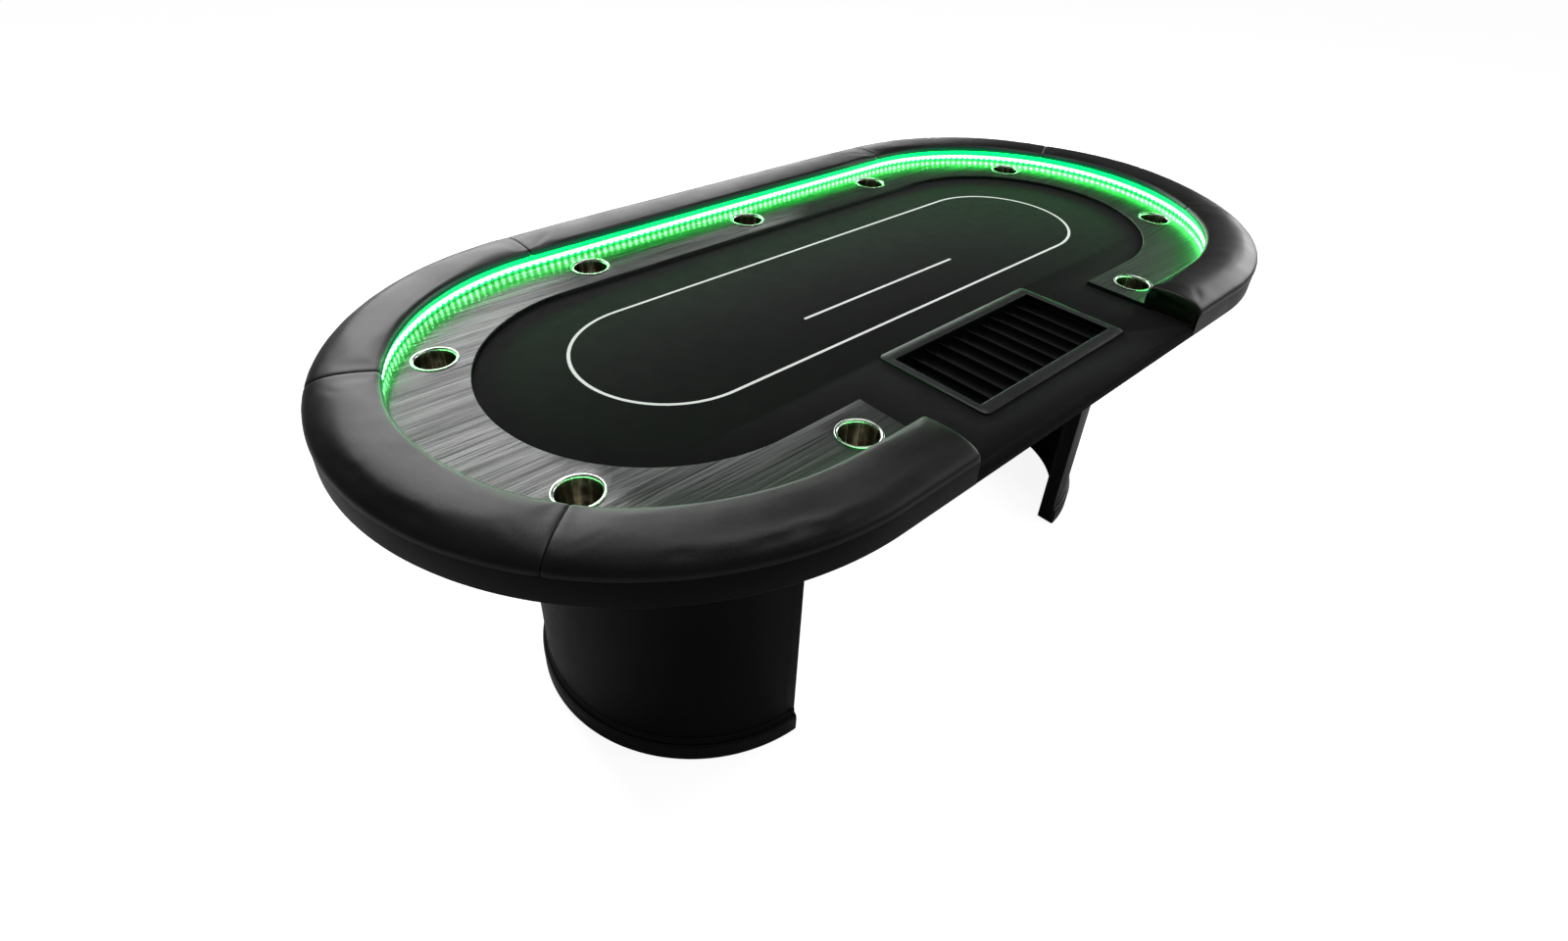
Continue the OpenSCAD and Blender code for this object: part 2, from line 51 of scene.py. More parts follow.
APRON_LOW, APRON_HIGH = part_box("apron_band")
APRON_R = APRON_HIGH[1]
ARC_X = APRON_HIGH[0] - APRON_R
CHANNEL_LOW, CHANNEL_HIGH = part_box("light_channel")
CHANNEL_R = CHANNEL_HIGH[1]
STRIP_LOW, STRIP_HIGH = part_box("led_strip")
WALL_R = STRIP_HIGH[1]
STRIP_R = WALL_R - 0.001
TRACK_LOW, TRACK_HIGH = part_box("race_track")
TRACK_TOP = TRACK_HIGH[2]
DEALER_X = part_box("rail_pad_near_right")[0][0]
CLOTH_LOW, CLOTH_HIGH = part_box("playing_cloth")
CLOTH_R = CLOTH_HIGH[1]
CLOTH_TOP = CLOTH_HIGH[2]
UNDERLAY_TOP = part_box("cloth_underlay")[1][2]
EDGE_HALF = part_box("dealer_edge")[1][0]
TRACK_R = CLOTH_R + 0.0005
PAD_LOW, PAD_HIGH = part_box("rail_pad_far")
RAIL_R = PAD_HIGH[1]
NOSE_R = PAD_LOW[1]
RAIL_TOP = PAD_HIGH[2]
PAD_BOTTOM = PAD_LOW[2]
NOSE_BOTTOM = CHANNEL_HIGH[2]
DECK_BOTTOM = APRON_LOW[2]
TRAY_LOW, TRAY_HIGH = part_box("chip_tray_frame")
PAN_LOW, PAN_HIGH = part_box("chip_tray_pan")
CUPS = ["cup_holder_%d" % i for i in range(1, 10)]
CUP_LOW, CUP_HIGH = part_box(CUPS[2])
CUP_RIM_R = (CUP_HIGH[0] - CUP_LOW[0]) / 2
EDGE_ROUND = 0.012
TRAY_CORNER = 0.012

RAIL_LINE = ARC_X - DEALER_X
END_LINE = math.pi * WALL_R
RING_LENGTH = 2 * RAIL_LINE + 2 * END_LINE + 2 * ARC_X
END_SKIN = 0.003
LIT_START, LIT_END = END_SKIN, RING_LENGTH - END_SKIN
LIT_STEP = 0.004


# ---- Mesh helpers ----

def new_piece(name, verts, faces, body="table", slot=None, material=None, stands_for=()):
    """A mesh object that rides on a body, takes a slot's finish and stands for CAD nodes."""
    mesh = bpy.data.meshes.new(name)
    mesh.from_pydata(verts, [], faces)
    mesh.validate()
    obj = bpy.data.objects.new(name, mesh)
    bpy.context.scene.collection.objects.link(obj)
    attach(obj, body)
    if slot:
        material = material or MATERIALS[slot]
    mesh.materials.append(material)
    if stands_for:
        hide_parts(*stands_for)
    return obj


def smooth(obj, angle=40):
    """Smooth shading, with edges kept sharp where faces meet at more than an angle in degrees."""
    mesh = obj.data
    mesh.polygons.foreach_set("use_smooth", [True] * len(mesh.polygons))
    mesh.set_sharp_from_angle(angle=math.radians(angle))
    return obj


def outward(obj):
    """Turns the faces of a closed mesh to the outside."""
    work = bmesh.new()
    work.from_mesh(obj.data)
    bmesh.ops.recalc_face_normals(work, faces=work.faces)
    work.to_mesh(obj.data)
    work.free()
    return obj


def apply_modifiers(obj):
    """Puts the result of an object's modifiers into its mesh."""
    graph = bpy.context.evaluated_depsgraph_get()
    graph.update()
    mesh = bpy.data.meshes.new_from_object(obj.evaluated_get(graph))
    obj.modifiers.clear()
    obj.data = mesh
    return obj


def bevel(obj, width, segments=2, angle=35):
    """Rounds the edges that are sharper than an angle."""
    step = obj.modifiers.new("bevel", "BEVEL")
    step.width = width
    step.segments = segments
    step.limit_method = "ANGLE"
    step.angle_limit = math.radians(angle)
    return apply_modifiers(obj)


def ring_place(along, radius):
    """The point at a distance along the open ring, which starts at the dealer's left, at a radius."""
    if along < RAIL_LINE:
        return (-DEALER_X - along, -radius)
    along -= RAIL_LINE
    if along < END_LINE:
        turn = -math.pi / 2 - along / WALL_R
        return (-ARC_X + radius * math.cos(turn), radius * math.sin(turn))
    along -= END_LINE
    if along < 2 * ARC_X:
        return (-ARC_X + along, radius)
    along -= 2 * ARC_X
    if along < END_LINE:
        turn = math.pi / 2 - along / WALL_R
        return (ARC_X + radius * math.cos(turn), radius * math.sin(turn))
    return (ARC_X - (along - END_LINE), -radius)


def spread(start, end, step):
    """Evenly spaced numbers from start to end, about a step apart."""
    count = max(1, round(abs(end - start) / step))
    return [start + (end - start) * i / count for i in range(count + 1)]


def loft(sections, closed_path=False):
    """Vertices and faces of a tube through closed sections of equal length, with end caps if it is open."""
    size = len(sections[0])
    verts = [point for section in sections for point in section]
    faces = []
    rows = len(sections)
    for i in range(rows if closed_path else rows - 1):
        a, b = i * size, (i + 1) % rows * size
        for j in range(size):
            k = (j + 1) % size
            faces.append((a + j, a + k, b + k, b + j))
    if not closed_path:
        faces.append(tuple(range(size - 1, -1, -1)))
        faces.append(tuple(range((rows - 1) * size, rows * size)))
    return verts, faces


def lofted(name, sections, closed_path=False, **kwargs):
    """A new piece lofted through sections, with its faces outward."""
    verts, faces = loft(sections, closed_path)
    return outward(new_piece(name, verts, faces, **kwargs))


def ring_sweep(name, profile, start=0, end=RING_LENGTH, step=0.012, **kwargs):
    """A closed (radius, height) profile swept along the ring."""
    sections = [[(*ring_place(along, radius), height) for radius, height in profile]
                for along in spread(start, end, step)]
    return lofted(name, sections, **kwargs)


def arc(centre, radius, start, end, count):
    """Points of an arc, angles in degrees."""
    points = []
    step = abs(math.radians(end - start)) / count
    for angle in spread(math.radians(start), math.radians(end), step):
        points.append((centre[0] + radius * math.cos(angle), centre[1] + radius * math.sin(angle)))
    return points


def prism(name, outline, low, high, holes=(), **kwargs):
    """A solid between two heights from a flat outline with holes."""
    loops = [list(outline)] + [list(hole) for hole in holes]
    flat = [[Vector((x, y, 0)) for x, y in loop] for loop in loops]
    triangles = geometry.tessellate_polygon(flat)
    points = [point for loop in loops for point in loop]
    count = len(points)
    verts = [(x, y, high) for x, y in points] + [(x, y, low) for x, y in points]
    faces = [tuple(t) for t in triangles] + [tuple(i + count for i in reversed(t)) for t in triangles]
    first = 0
    for loop in loops:
        for j in range(len(loop)):
            a, b = first + j, first + (j + 1) % len(loop)
            faces.append((a, a + count, b + count, b))
        first += len(loop)
    return outward(new_piece(name, verts, faces, **kwargs))


def lathe(name, profile, centre, turns=72, **kwargs):
    """A closed (radius, height) profile turned round a vertical axis."""
    sections = []
    for i in range(turns):
        angle = 2 * math.pi * i / turns
        ca, sa = math.cos(angle), math.sin(angle)
        sections.append([(centre[0] + r * ca, centre[1] + r * sa, z) for r, z in profile])
    return lofted(name, sections, closed_path=True, **kwargs)


# ---- Material helpers ----

SOCKETS = {
    "color": "Base Color", "roughness": "Roughness", "metallic": "Metallic",
    "coat_roughness": "Coat Roughness", "sheen": "Sheen Weight", "sheen_roughness": "Sheen Roughness",
    "anisotropy": "Anisotropic", "specular": "Specular IOR Level",
    "glow": "Emission Color", "glow_strength": "Emission Strength",
}


class Graph:
    """A short way to build one material's nodes."""

    def __init__(self, name, color, roughness, metallic=0.0):
        self.material = bpy.data.materials.new(name)
        self.material.use_nodes = True
        self.tree = self.material.node_tree
        self.shader = self.tree.nodes["Principled BSDF"]
        self.set(color=color, roughness=roughness, metallic=metallic)
        self.material.diffuse_color = (*color, 1)
        self.place = self.tree.nodes.new("ShaderNodeTexCoord").outputs["Object"]

    def set(self, **values):
        """Sets the shader's own sockets."""
        for key, value in values.items():
            if isinstance(value, tuple) and len(value) == 3:
                value = (*value, 1)
            self.shader.inputs[SOCKETS[key]].default_value = value

    def link(self, output, socket):
        """Feeds one of the shader's sockets."""
        self.tree.links.new(output, self.shader.inputs[socket])

    def node(self, kind, inputs=None, **settings):
        """A shader node with its inputs linked or set."""
        made = self.tree.nodes.new("ShaderNode" + kind)
        for key, value in settings.items():
            setattr(made, key, value)
        for key, value in (inputs or {}).items():
            if isinstance(value, bpy.types.NodeSocket):
                self.tree.links.new(value, made.inputs[key])
            else:
                made.inputs[key].default_value = value
        return made

    def scaled(self, scale, place=None):
        """Object coordinates, stretched by a scale."""
        return self.node("Mapping", {"Vector": place or self.place, "Scale": scale}).outputs["Vector"]

    def noise(self, scale, detail=3, rough=0.55, distortion=0, place=None):
        """Cloudy noise in object space."""
        return self.node("TexNoise", {"Vector": place or self.place, "Scale": scale, "Detail": detail,
                                      "Roughness": rough, "Distortion": distortion}).outputs["Fac"]

    def ramp(self, value, stops):
        """A colour or grey ramp; each stop is (position, grey or colour)."""
        made = self.node("ValToRGB", {"Fac": value})
        elements = made.color_ramp.elements
        while len(elements) < len(stops):
            elements.new(0.5)
        for element, (position, shade) in zip(elements, stops):
            element.position = position
            element.color = (*shade, 1) if isinstance(shade, tuple) else (shade, shade, shade, 1)
        return made.outputs["Color"]

    def span(self, value, low, high, new_low, new_high):
        """A value moved from one range to another."""
        made = self.node("MapRange", {"Value": value, "From Min": low, "From Max": high,
                                      "To Min": new_low, "To Max": new_high})
        return made.outputs["Result"]

    def math(self, operation, a, b=0.0):
        return self.node("Math", {0: a, 1: b}, operation=operation).outputs[0]

    def mix(self, share, a, b):
        """A colour between a and b."""
        made = self.node("Mix", data_type="RGBA")
        for key, value in ((0, share), (6, a), (7, b)):
            if isinstance(value, bpy.types.NodeSocket):
                self.tree.links.new(value, made.inputs[key])
            else:
                made.inputs[key].default_value = (*value, 1) if isinstance(value, tuple) else value
        return made.outputs[2]

    def bump(self, height, strength, distance, under=None):
        """A bump on the shader's normal, over the one under it."""
        inputs = {"Height": height, "Strength": strength, "Distance": distance}
        if under:
            inputs["Normal"] = under
        made = self.node("Bump", inputs).outputs["Normal"]
        self.link(made, "Normal")
        return made


def toned(color, gain, lift=0.0):
    """A colour made darker or lighter."""
    return tuple(min(1, c * gain + lift) for c in color)


def ring_radius(g):
    """Distance from the line between the table's arc centres, and the height."""
    parts = g.node("SeparateXYZ", {"Vector": g.place}).outputs
    beyond = g.math("MAXIMUM", g.math("SUBTRACT", g.math("ABSOLUTE", parts["X"]), ARC_X), 0.0)
    flat = g.node("CombineXYZ", {"X": beyond, "Y": parts["Y"]}).outputs["Vector"]
    return g.node("VectorMath", {0: flat}, operation="LENGTH").outputs["Value"], parts["Z"]


def painted_spill(g):
    """Painted green glow on the rail's inner face, standing in for light that the track throws back."""
    radius, height = ring_radius(g)
    inward = g.span(radius, NOSE_R + 0.001, NOSE_R + 0.008, 1.0, 0.0)
    low = g.span(height, NOSE_BOTTOM, RAIL_TOP - 0.003, 1.0, 0.0)
    above = g.span(height, NOSE_BOTTOM - 0.003, NOSE_BOTTOM, 0.0, 1.0)
    # Where the painted glow falls: the inner face of the nose, above the wall.
    lit = g.math("MULTIPLY", g.math("MULTIPLY", inward, low), above)
    g.set(glow=(0.002, 0.20, 0.085))
    g.link(g.math("MULTIPLY", lit, PAINTED_SPILL_STRENGTH), "Emission Strength")


def vinyl(name, color, roughness, specular=0.3, lit=False):
    """Black upholstery vinyl with a fine pebbled grain and soft wear; with lit, a painted green glow on its
    inner face.
    """
    g = Graph(name, color, roughness)
    g.set(specular=specular)
    if lit:
        painted_spill(g)
    cells = g.node("TexVoronoi", {"Vector": g.place, "Scale": 620.0}, feature="DISTANCE_TO_EDGE")
    pebbles = cells.outputs["Distance"]
    creases = g.noise(180.0, 4)
    wear = g.noise(9.0, 5)
    worn = g.span(wear, 0.35, 0.7, 0, 1)
    g.link(g.mix(worn, toned(color, 0.8), toned(color, 1.35, 0.002)), "Base Color")
    g.link(g.span(wear, 0.3, 0.7, roughness - 0.05, roughness + 0.07), "Roughness")
    first = g.bump(g.span(pebbles, 0.0, 0.25, 0, 1), 0.22, 0.0003)
    second = g.bump(creases, 0.12, 0.0006, first)
    g.bump(g.noise(14.0, 3), 0.10, 0.004, second)
    return g.material


def oak(name, color, roughness):
    """Black-stained oak: fine straight pores along X, brushed open under a clear lacquer."""
    g = Graph(name, color, roughness)
    waves = g.noise(1.6, 2, place=g.scaled((0.7, 2.0, 2.0)))
    shift = g.node("CombineXYZ", {"Y": g.span(waves, 0, 1, -0.010, 0.010)}).outputs["Vector"]
    bent = g.node("VectorMath", {0: g.place, 1: shift}, operation="ADD").outputs["Vector"]
    pores = g.noise(1.0, 3, 0.55, place=g.scaled((6.0, 430.0, 60.0), place=bent))
    ridges = g.noise(1.0, 1, 0.5, place=g.scaled((1.5, 640.0, 60.0)))
    rings = g.noise(1.0, 2, 0.5, place=g.scaled((0.9, 26.0, 10.0), place=bent))
    open_pore = g.ramp(pores, [(0.40, 1.0), (0.48, 0.0)])
    figure = g.span(rings, 0.40, 0.56, 0.0, 1.0)
    shade = g.mix(figure, toned(color, 0.5), toned(color, 1.3))
    g.link(g.mix(open_pore, shade, toned(color, 0.3)), "Base Color")
    rough = g.span(figure, 0.0, 1.0, roughness + 0.07, roughness - 0.02)
    g.link(g.math("ADD", rough, g.math("MULTIPLY", open_pore, 0.42)), "Roughness")
    across = g.node("CombineXYZ", {"X": 0.0, "Y": 1.0, "Z": 0.0}).outputs["Vector"]
    g.link(across, "Tangent")
    g.link(g.bump(ridges, 0.6, 0.0006), "Coat Normal")
    g.bump(g.math("SUBTRACT", 1.0, open_pore), 0.25, 0.0002)
    lacquer = g.span(figure, 0.0, 1.0, 0.76, 0.92)
    g.link(g.math("SUBTRACT", lacquer, g.math("MULTIPLY", open_pore, 0.4)), "Coat Weight")
    g.set(anisotropy=0.95, coat_roughness=0.09, specular=0.42)
    return g.material


def woven(name, color, roughness, threads=900.0, sheen=0.25, specular=0.5):
    """A tight, matt table cloth with crossing threads and faint nap."""
    g = Graph(name, color, roughness)
    g.set(specular=specular)
    warp = g.node("TexWave", {"Vector": g.place, "Scale": threads / 3.2}, bands_direction="X").outputs["Fac"]
    weft = g.node("TexWave", {"Vector": g.place, "Scale": threads / 3.2}, bands_direction="Y").outputs["Fac"]
    threads_up = g.math("MULTIPLY", warp, weft)
    nap = g.noise(38.0, 5, 0.65)
    fibres = g.noise(900.0, 2, 0.6)
    shade = g.mix(g.span(nap, 0.3, 0.7, 0, 1), toned(color, 0.8), toned(color, 1.3))
    g.link(g.mix(g.math("MULTIPLY", fibres, 0.35), shade, toned(color, 2.0)), "Base Color")
    g.link(g.span(nap, 0.3, 0.7, roughness - 0.06, roughness + 0.05), "Roughness")
    first = g.bump(threads_up, 0.25, 0.0003)
    g.bump(nap, 0.1, 0.001, first)
    g.set(sheen=sheen, sheen_roughness=0.45)
    return g.material


def brushed(name, color, roughness, streaks):
    """Metal with fine brushing; streaks is how fine it is along each axis."""
    g = Graph(name, color, roughness, 1.0)
    lines = g.noise(1.0, 4, 0.65, place=g.scaled(streaks))
    cloud = g.noise(30.0, 3)
    g.link(g.mix(lines, toned(color, 0.72), toned(color, 1.15)), "Base Color")
    both = g.math("ADD", g.math("MULTIPLY", lines, 0.6), g.math("MULTIPLY", cloud, 0.4))
    g.link(g.span(both, 0.3, 0.7, roughness - 0.12, roughness + 0.12), "Roughness")
    g.bump(lines, 0.12, 0.0002)
    return g.material


def drawn_steel(name, rim, inside):
    """A drawn cup: a bright polished rim over a wall darkened as painted shade, with painted upright streaks
    of light.
    """
    g = Graph(name, rim, 0.2, 1.0)
    height = g.node("SeparateXYZ", {"Vector": g.place}).outputs["Z"]
    depth = g.span(height, TRACK_TOP - 0.010, TRACK_TOP - 0.001, 1, 0)
    streaks = g.noise(1.0, 3, 0.6, place=g.scaled((95.0, 95.0, 1.2)))
    painted_glints = g.ramp(streaks, [(0.46, 0.0), (0.56, 0.35), (0.66, 1.0)])
    # The wall's darker colour is painted shade, and the bright streaks on it are painted highlights.
    wall = g.mix(painted_glints, inside, toned(inside, 3.0))
    g.link(g.mix(depth, rim, wall), "Base Color")
    g.link(g.span(streaks, 0.3, 0.7, 0.16, 0.30), "Roughness")
    g.bump(streaks, 0.05, 0.0003)
    return g.material


def painted(name, color, roughness, grain=420.0, bump=0.12, specular=0.5):
    """Satin paint, lacquer or moulded plastic with a fine texture and faint handling marks."""
    g = Graph(name, color, roughness)
    g.set(specular=specular)
    texture = g.noise(grain, 3)
    cloud = g.noise(11.0, 4)
    marks = g.noise(60.0, 6, 0.7, 0.6)
    tone = g.span(cloud, 0.3, 0.7, 0, 1)
    g.link(g.mix(tone, toned(color, 0.82), toned(color, 1.22, 0.001)), "Base Color")
    both = g.math("ADD", g.math("MULTIPLY", cloud, 0.6), g.math("MULTIPLY", marks, 0.4))
    g.link(g.span(both, 0.3, 0.7, max(0.05, roughness - 0.06), roughness + 0.08), "Roughness")
    g.bump(texture, bump, 0.0003)
    return g.material


def timber(name, color, roughness, layers=0.0):
    """Unfinished wood: grain along X, with ply layers in height where layers is above 0."""
    g = Graph(name, color, roughness)
    grain = g.noise(1.0, 5, 0.65, place=g.scaled((6.0, 140.0, 90.0)))
    rings = g.noise(1.0, 2, 0.5, 0.8, place=g.scaled((1.2, 18.0, 18.0)))
    tone = g.math("ADD", g.math("MULTIPLY", grain, 0.5), g.math("MULTIPLY", rings, 0.5))
    shade = g.mix(g.span(tone, 0.3, 0.7, 0, 1), toned(color, 0.62), toned(color, 1.25))
    if layers:
        bands = g.node("TexWave", {"Vector": g.place, "Scale": layers}, bands_direction="Z").outputs["Fac"]
        shade = g.mix(g.ramp(bands, [(0.45, 0.0), (0.6, 0.5)]), shade, toned(color, 0.4))
    g.link(shade, "Base Color")
    g.link(g.span(tone, 0.3, 0.7, roughness - 0.08, roughness + 0.08), "Roughness")
    g.bump(grain, 0.3, 0.0006)
    return g.material


def circuit(name, color):
    """Solder mask with lighter traces."""
    g = Graph(name, color, 0.35)
    cells = g.node("TexVoronoi", {"Vector": g.place, "Scale": 210.0}, distance="MANHATTAN")
    traces = g.ramp(cells.outputs["Distance"], [(0.42, 0.0), (0.46, 1.0)])
    g.link(g.mix(traces, color, toned(color, 2.2, 0.02)), "Base Color")
    g.bump(traces, 0.3, 0.0001)
    return g.material


def lamp_glow(name, color, strength):
    """A coated light chip, glowing through a tinted gel."""
    g = Graph(name, color, 0.3)
    cloud = g.noise(700.0, 2)
    g.link(g.mix(g.span(cloud, 0.3, 0.7, 0, 1), toned(color, 0.85), color), "Emission Color")
    g.set(glow_strength=strength)
    g.bump(cloud, 0.1, 0.0001)
    return g.material


LED_PITCH = 0.0164
# Glow strength of the strip's lamps and of the light painted on the wall.
LAMP_AND_PAINTED_WALL_GLOW = 8.0
FLOOR_GLOW = 0.9
# Painted glow on the print, though the ink is no lamp.
PRINT_PAINTED_GLOW = 0.22
# Strength of the painted green glow on the rail's inner face.
PAINTED_SPILL_STRENGTH = 1.0
# Glow colours up the wall, as a share of its height: the strip's light and the painted light on the wall.
WALL_DEEP = [
    (0.0, (0.0, 0.18, 0.016)), (0.17, (0.0, 0.32, 0.03)), (0.23, (0.0, 1.0, 0.06)),
    (0.46, (0.0, 1.0, 0.06)), (0.53, (0.0, 0.16, 0.02)), (0.68, (0.0, 0.10, 0.015)),
    (0.76, (0.0, 1.0, 0.05)), (1.0, (0.0, 1.0, 0.05)),
]
WALL_HOT = [
    (0.0, (0.0, 0.42, 0.05)), (0.18, (0.03, 1.0, 0.10)), (0.26, (0.20, 1.0, 0.24)),
    (0.46, (0.20, 1.0, 0.24)), (0.56, (0.0, 0.5, 0.04)),
]


def lamp_and_painted_wall_glow(name):
    """The strip's glow and the lamps' light painted on the wall as glow: a hot line at each lamp, which
    narrows away from it, in deep green.
    """
    g = Graph(name, (0.01, 0.12, 0.04), 0.4)
    lay = g.node("UVMap", uv_map="wall").outputs["UV"]
    parts = g.node("SeparateXYZ", {"Vector": lay}).outputs
    along, height = parts["X"], parts["Y"]
    phase = g.math("MULTIPLY", g.math("SUBTRACT", along, END_SKIN), 2 * math.pi / LED_PITCH)
    wave = g.math("COSINE", phase)
    tooth = g.span(wave, -1.0, 1.0, 1.0, 0.0)
    below = g.span(height, 0.0, 0.36, 0.62, -0.1)
    above = g.span(height, 0.54, 0.68, 0.0, 1.2)
    limit = g.math("MAXIMUM", below, g.math("SUBTRACT", above, 0.1))
    # beam is the painted tooth of light above and below each lamp.
    beam = g.span(g.math("SUBTRACT", tooth, limit), -0.12, 0.12, 0.0, 1.0)
    g.link(g.mix(beam, g.ramp(height, WALL_DEEP), g.ramp(height, WALL_HOT)), "Emission Color")
    g.set(glow_strength=LAMP_AND_PAINTED_WALL_GLOW)
    g.bump(wave, 0.05, 0.0002)
    return g.material


def print_white(name):
    """Print sunk into the weave: off-white ink with specks of cloth showing, lifted by a faint painted glow.
    """
    g = Graph(name, (0.9, 0.9, 0.9), 0.7)
    specks = g.noise(1400.0, 3)
    g.link(g.ramp(specks, [(0.25, (0.6, 0.61, 0.61)), (0.38, (0.96, 0.96, 0.95))]), "Base Color")
    g.set(glow=(1, 1, 1), glow_strength=PRINT_PAINTED_GLOW)
    g.bump(specks, 0.3, 0.0002)
    return g.material


def floor_white(name):
    """A pale studio floor, near white in the picture."""
    g = Graph(name, (0.8, 0.8, 0.8), 0.6)
    cloud = g.noise(1.5, 4)
    g.link(g.ramp(cloud, [(0.3, (0.80, 0.80, 0.80)), (0.7, (0.84, 0.84, 0.84))]), "Base Color")
    g.set(glow=(1, 1, 1), specular=0.2)
    seen = g.node("LightPath").outputs["Is Camera Ray"]
    g.link(g.span(seen, 0, 1, 0.0, FLOOR_GLOW), "Emission Strength")
    return g.material


FINISHES = {
    "deck_mdf": (timber, (0.05, 0.045, 0.04), 0.6),
    "track_veneer": (oak, (0.010, 0.010, 0.011), 0.46),
    "foam": (woven, (0.12, 0.12, 0.12), 0.9, 300.0),
    "table_cloth": (woven, (0.0062, 0.0052, 0.0066), 0.8, 900.0, 0.02, 0.12),
    "hardwood": (timber, (0.25, 0.17, 0.10), 0.6),
    # apron_vinyl is the rail's vinyl at half its colour: painted shade on the band's side.
    "apron_vinyl": (vinyl, (0.0032, 0.0032, 0.0031), 0.36, 0.12),
    "channel_plastic": (lamp_and_painted_wall_glow,),
    "plywood": (timber, (0.42, 0.30, 0.17), 0.6, 160.0),
    "rail_vinyl": (vinyl, (0.0064, 0.0064, 0.0058), 0.34, 0.42, True),
    # The cup's inside colour is darker steel: painted shade in the cup.
    "cup_steel": (drawn_steel, (0.74, 0.75, 0.72), (0.27, 0.255, 0.21)),
    "tray_frame_metal": (painted, (0.022, 0.0222, 0.0245), 0.32),
    "tray_pan_plastic": (painted, (0.0022, 0.0023, 0.0028), 0.42, 420.0, 0.12, 0.12),
    "bolt_steel": (brushed, (0.5, 0.5, 0.5), 0.3, (300.0, 300.0, 300.0)),
    "black_plastic": (painted, (0.02, 0.02, 0.02), 0.5, 900.0, 0.3),
    "circuit_board": (circuit, (0.02, 0.16, 0.06)),
    "switch_red": (painted, (0.45, 0.02, 0.02), 0.2, 200.0, 0.03),
    "inlet_plastic": (painted, (0.015, 0.015, 0.015), 0.25, 200.0, 0.05),
    "lead_rubber": (painted, (0.02, 0.02, 0.02), 0.6, 700.0, 0.2),
    "clip_plastic": (painted, (0.6, 0.6, 0.58), 0.45, 300.0, 0.08),
    "leg_lacquer": (painted, (0.0036, 0.0034, 0.0031), 0.36, 120.0, 0.05, 0.12),
    "plinth_lacquer": (painted, (0.0040, 0.0038, 0.0036), 0.30, 120.0, 0.05, 0.22),
    "glide_plastic": (painted, (0.03, 0.03, 0.03), 0.5, 500.0, 0.15),
    "led_light": (lamp_and_painted_wall_glow,),
}
MATERIALS = {slot: make(slot, *values) for slot, (make, *values) in FINISHES.items()}
CHIP_GLOW = lamp_glow("light_chip", (0.24, 1.0, 0.34), 42.0)
PRINT_INK = print_white("cloth_print")


def dress_frame():
    """Every CAD node that stays takes its slot's procedural material."""
    for row in frame["record"]["subparts"]:
        node = frame["nodes"][row["node"]]
        for place in node.material_slots:
            place.material = MATERIALS[row["material_slot"]]
        if not node.material_slots:
            node.data.materials.append(MATERIALS[row["material_slot"]])


# ---- Padded rail ----

PAD_STEP = 0.008
PAD_SLACK = 0.0016
PAD_SWELL = 0.0030
SEAM_DIP = 0.0020
SEAM_REACH = 0.0022
DEALER_ROUND = 0.006
CROWN_DROP = 0.0025
NOSE_ROUND = 0.012
SHOULDER_WIDTH = 0.062
FOOT_RISE = 0.003
QUICK_SWELL = 0.6
PUCKER_REACH = 0.04
PUCKER_DEPTH = 0.0007
SEWN_HOLD = 0.035
OPEN_HOLD = 0.012
SIM_FRAMES = 20


def pad_profile():
    """The rail's cross section, (radius, height), round from its inner foot over the crown."""
    wide, tall = SHOULDER_WIDTH, RAIL_TOP - PAD_BOTTOM - FOOT_RISE
    nose_c = (NOSE_R + NOSE_ROUND, RAIL_TOP - CROWN_DROP - NOSE_ROUND)
    outline = [(CHANNEL_R, PAD_BOTTOM), (CHANNEL_R, NOSE_BOTTOM)]
    outline += arc(nose_c, NOSE_ROUND, 200, 92, 8)
    crown = (NOSE_R + RAIL_R) / 2
    outline += [(crown - 0.030, RAIL_TOP - CROWN_DROP * 0.3), (crown - 0.012, RAIL_TOP)]
    for x, z in arc((0, 0), 1.0, 84, 0, 12):
        outline.append((RAIL_R - wide + wide * x, PAD_BOTTOM + FOOT_RISE + tall * z ** 0.9))
    outline += [(RAIL_R - 0.0005, PAD_BOTTOM)]
    return even(outline, PAD_STEP * 0.8)


def even(outline, step):
    """Adds points on the long sides of a closed outline."""
    points = []
    for i, (x, y) in enumerate(outline):
        end_x, end_y = outline[(i + 1) % len(outline)]
        count = max(1, round(math.dist((x, y), (end_x, end_y)) / step))
        points += [(x + (end_x - x) * j / count, y + (end_y - y) * j / count) for j in range(count)]
    return points


def inset(profile, by):
    """A closed profile moved in along its normals."""
    moved = []
    count = len(profile)
    following = profile[1:] + profile[:1]
    area = sum(x * next_y - next_x * y for (x, y), (next_x, next_y) in zip(profile, following))
    turn = 1 if area > 0 else -1
    for i in range(count):
        before, after = profile[i - 1], following[i]
        dx, dy = after[0] - before[0], after[1] - before[1]
        size = math.hypot(dx, dy) or 1
        moved.append((profile[i][0] - turn * dy / size * by, profile[i][1] + turn * dx / size * by))
    return moved


def end_dip(distance, sewn):
    """How far the cover is drawn in at a distance from a pad's end."""
    if sewn:
        return SEAM_DIP * math.exp(-distance / SEAM_REACH)
    if distance > DEALER_ROUND:
        return 0
    short = DEALER_ROUND - distance
    return DEALER_ROUND - math.sqrt(max(0, DEALER_ROUND ** 2 - short ** 2))


def pad_stations(start, end, sewn):
    """Places along a pad, closer together near its ends, with how far the cover dips at each."""
    near = [0, 0.0006, 0.0016, 0.0035, 0.007, 0.013]
    middle = spread(start + 0.021, end - 0.021, PAD_STEP)
    places = [start + d for d in near] + middle + [end - d for d in reversed(near)]
    dips = []
    for place in places:
        dips.append(end_dip(place - start, sewn[0]) + end_dip(end - place, sewn[1]))
    return list(zip(places, dips))


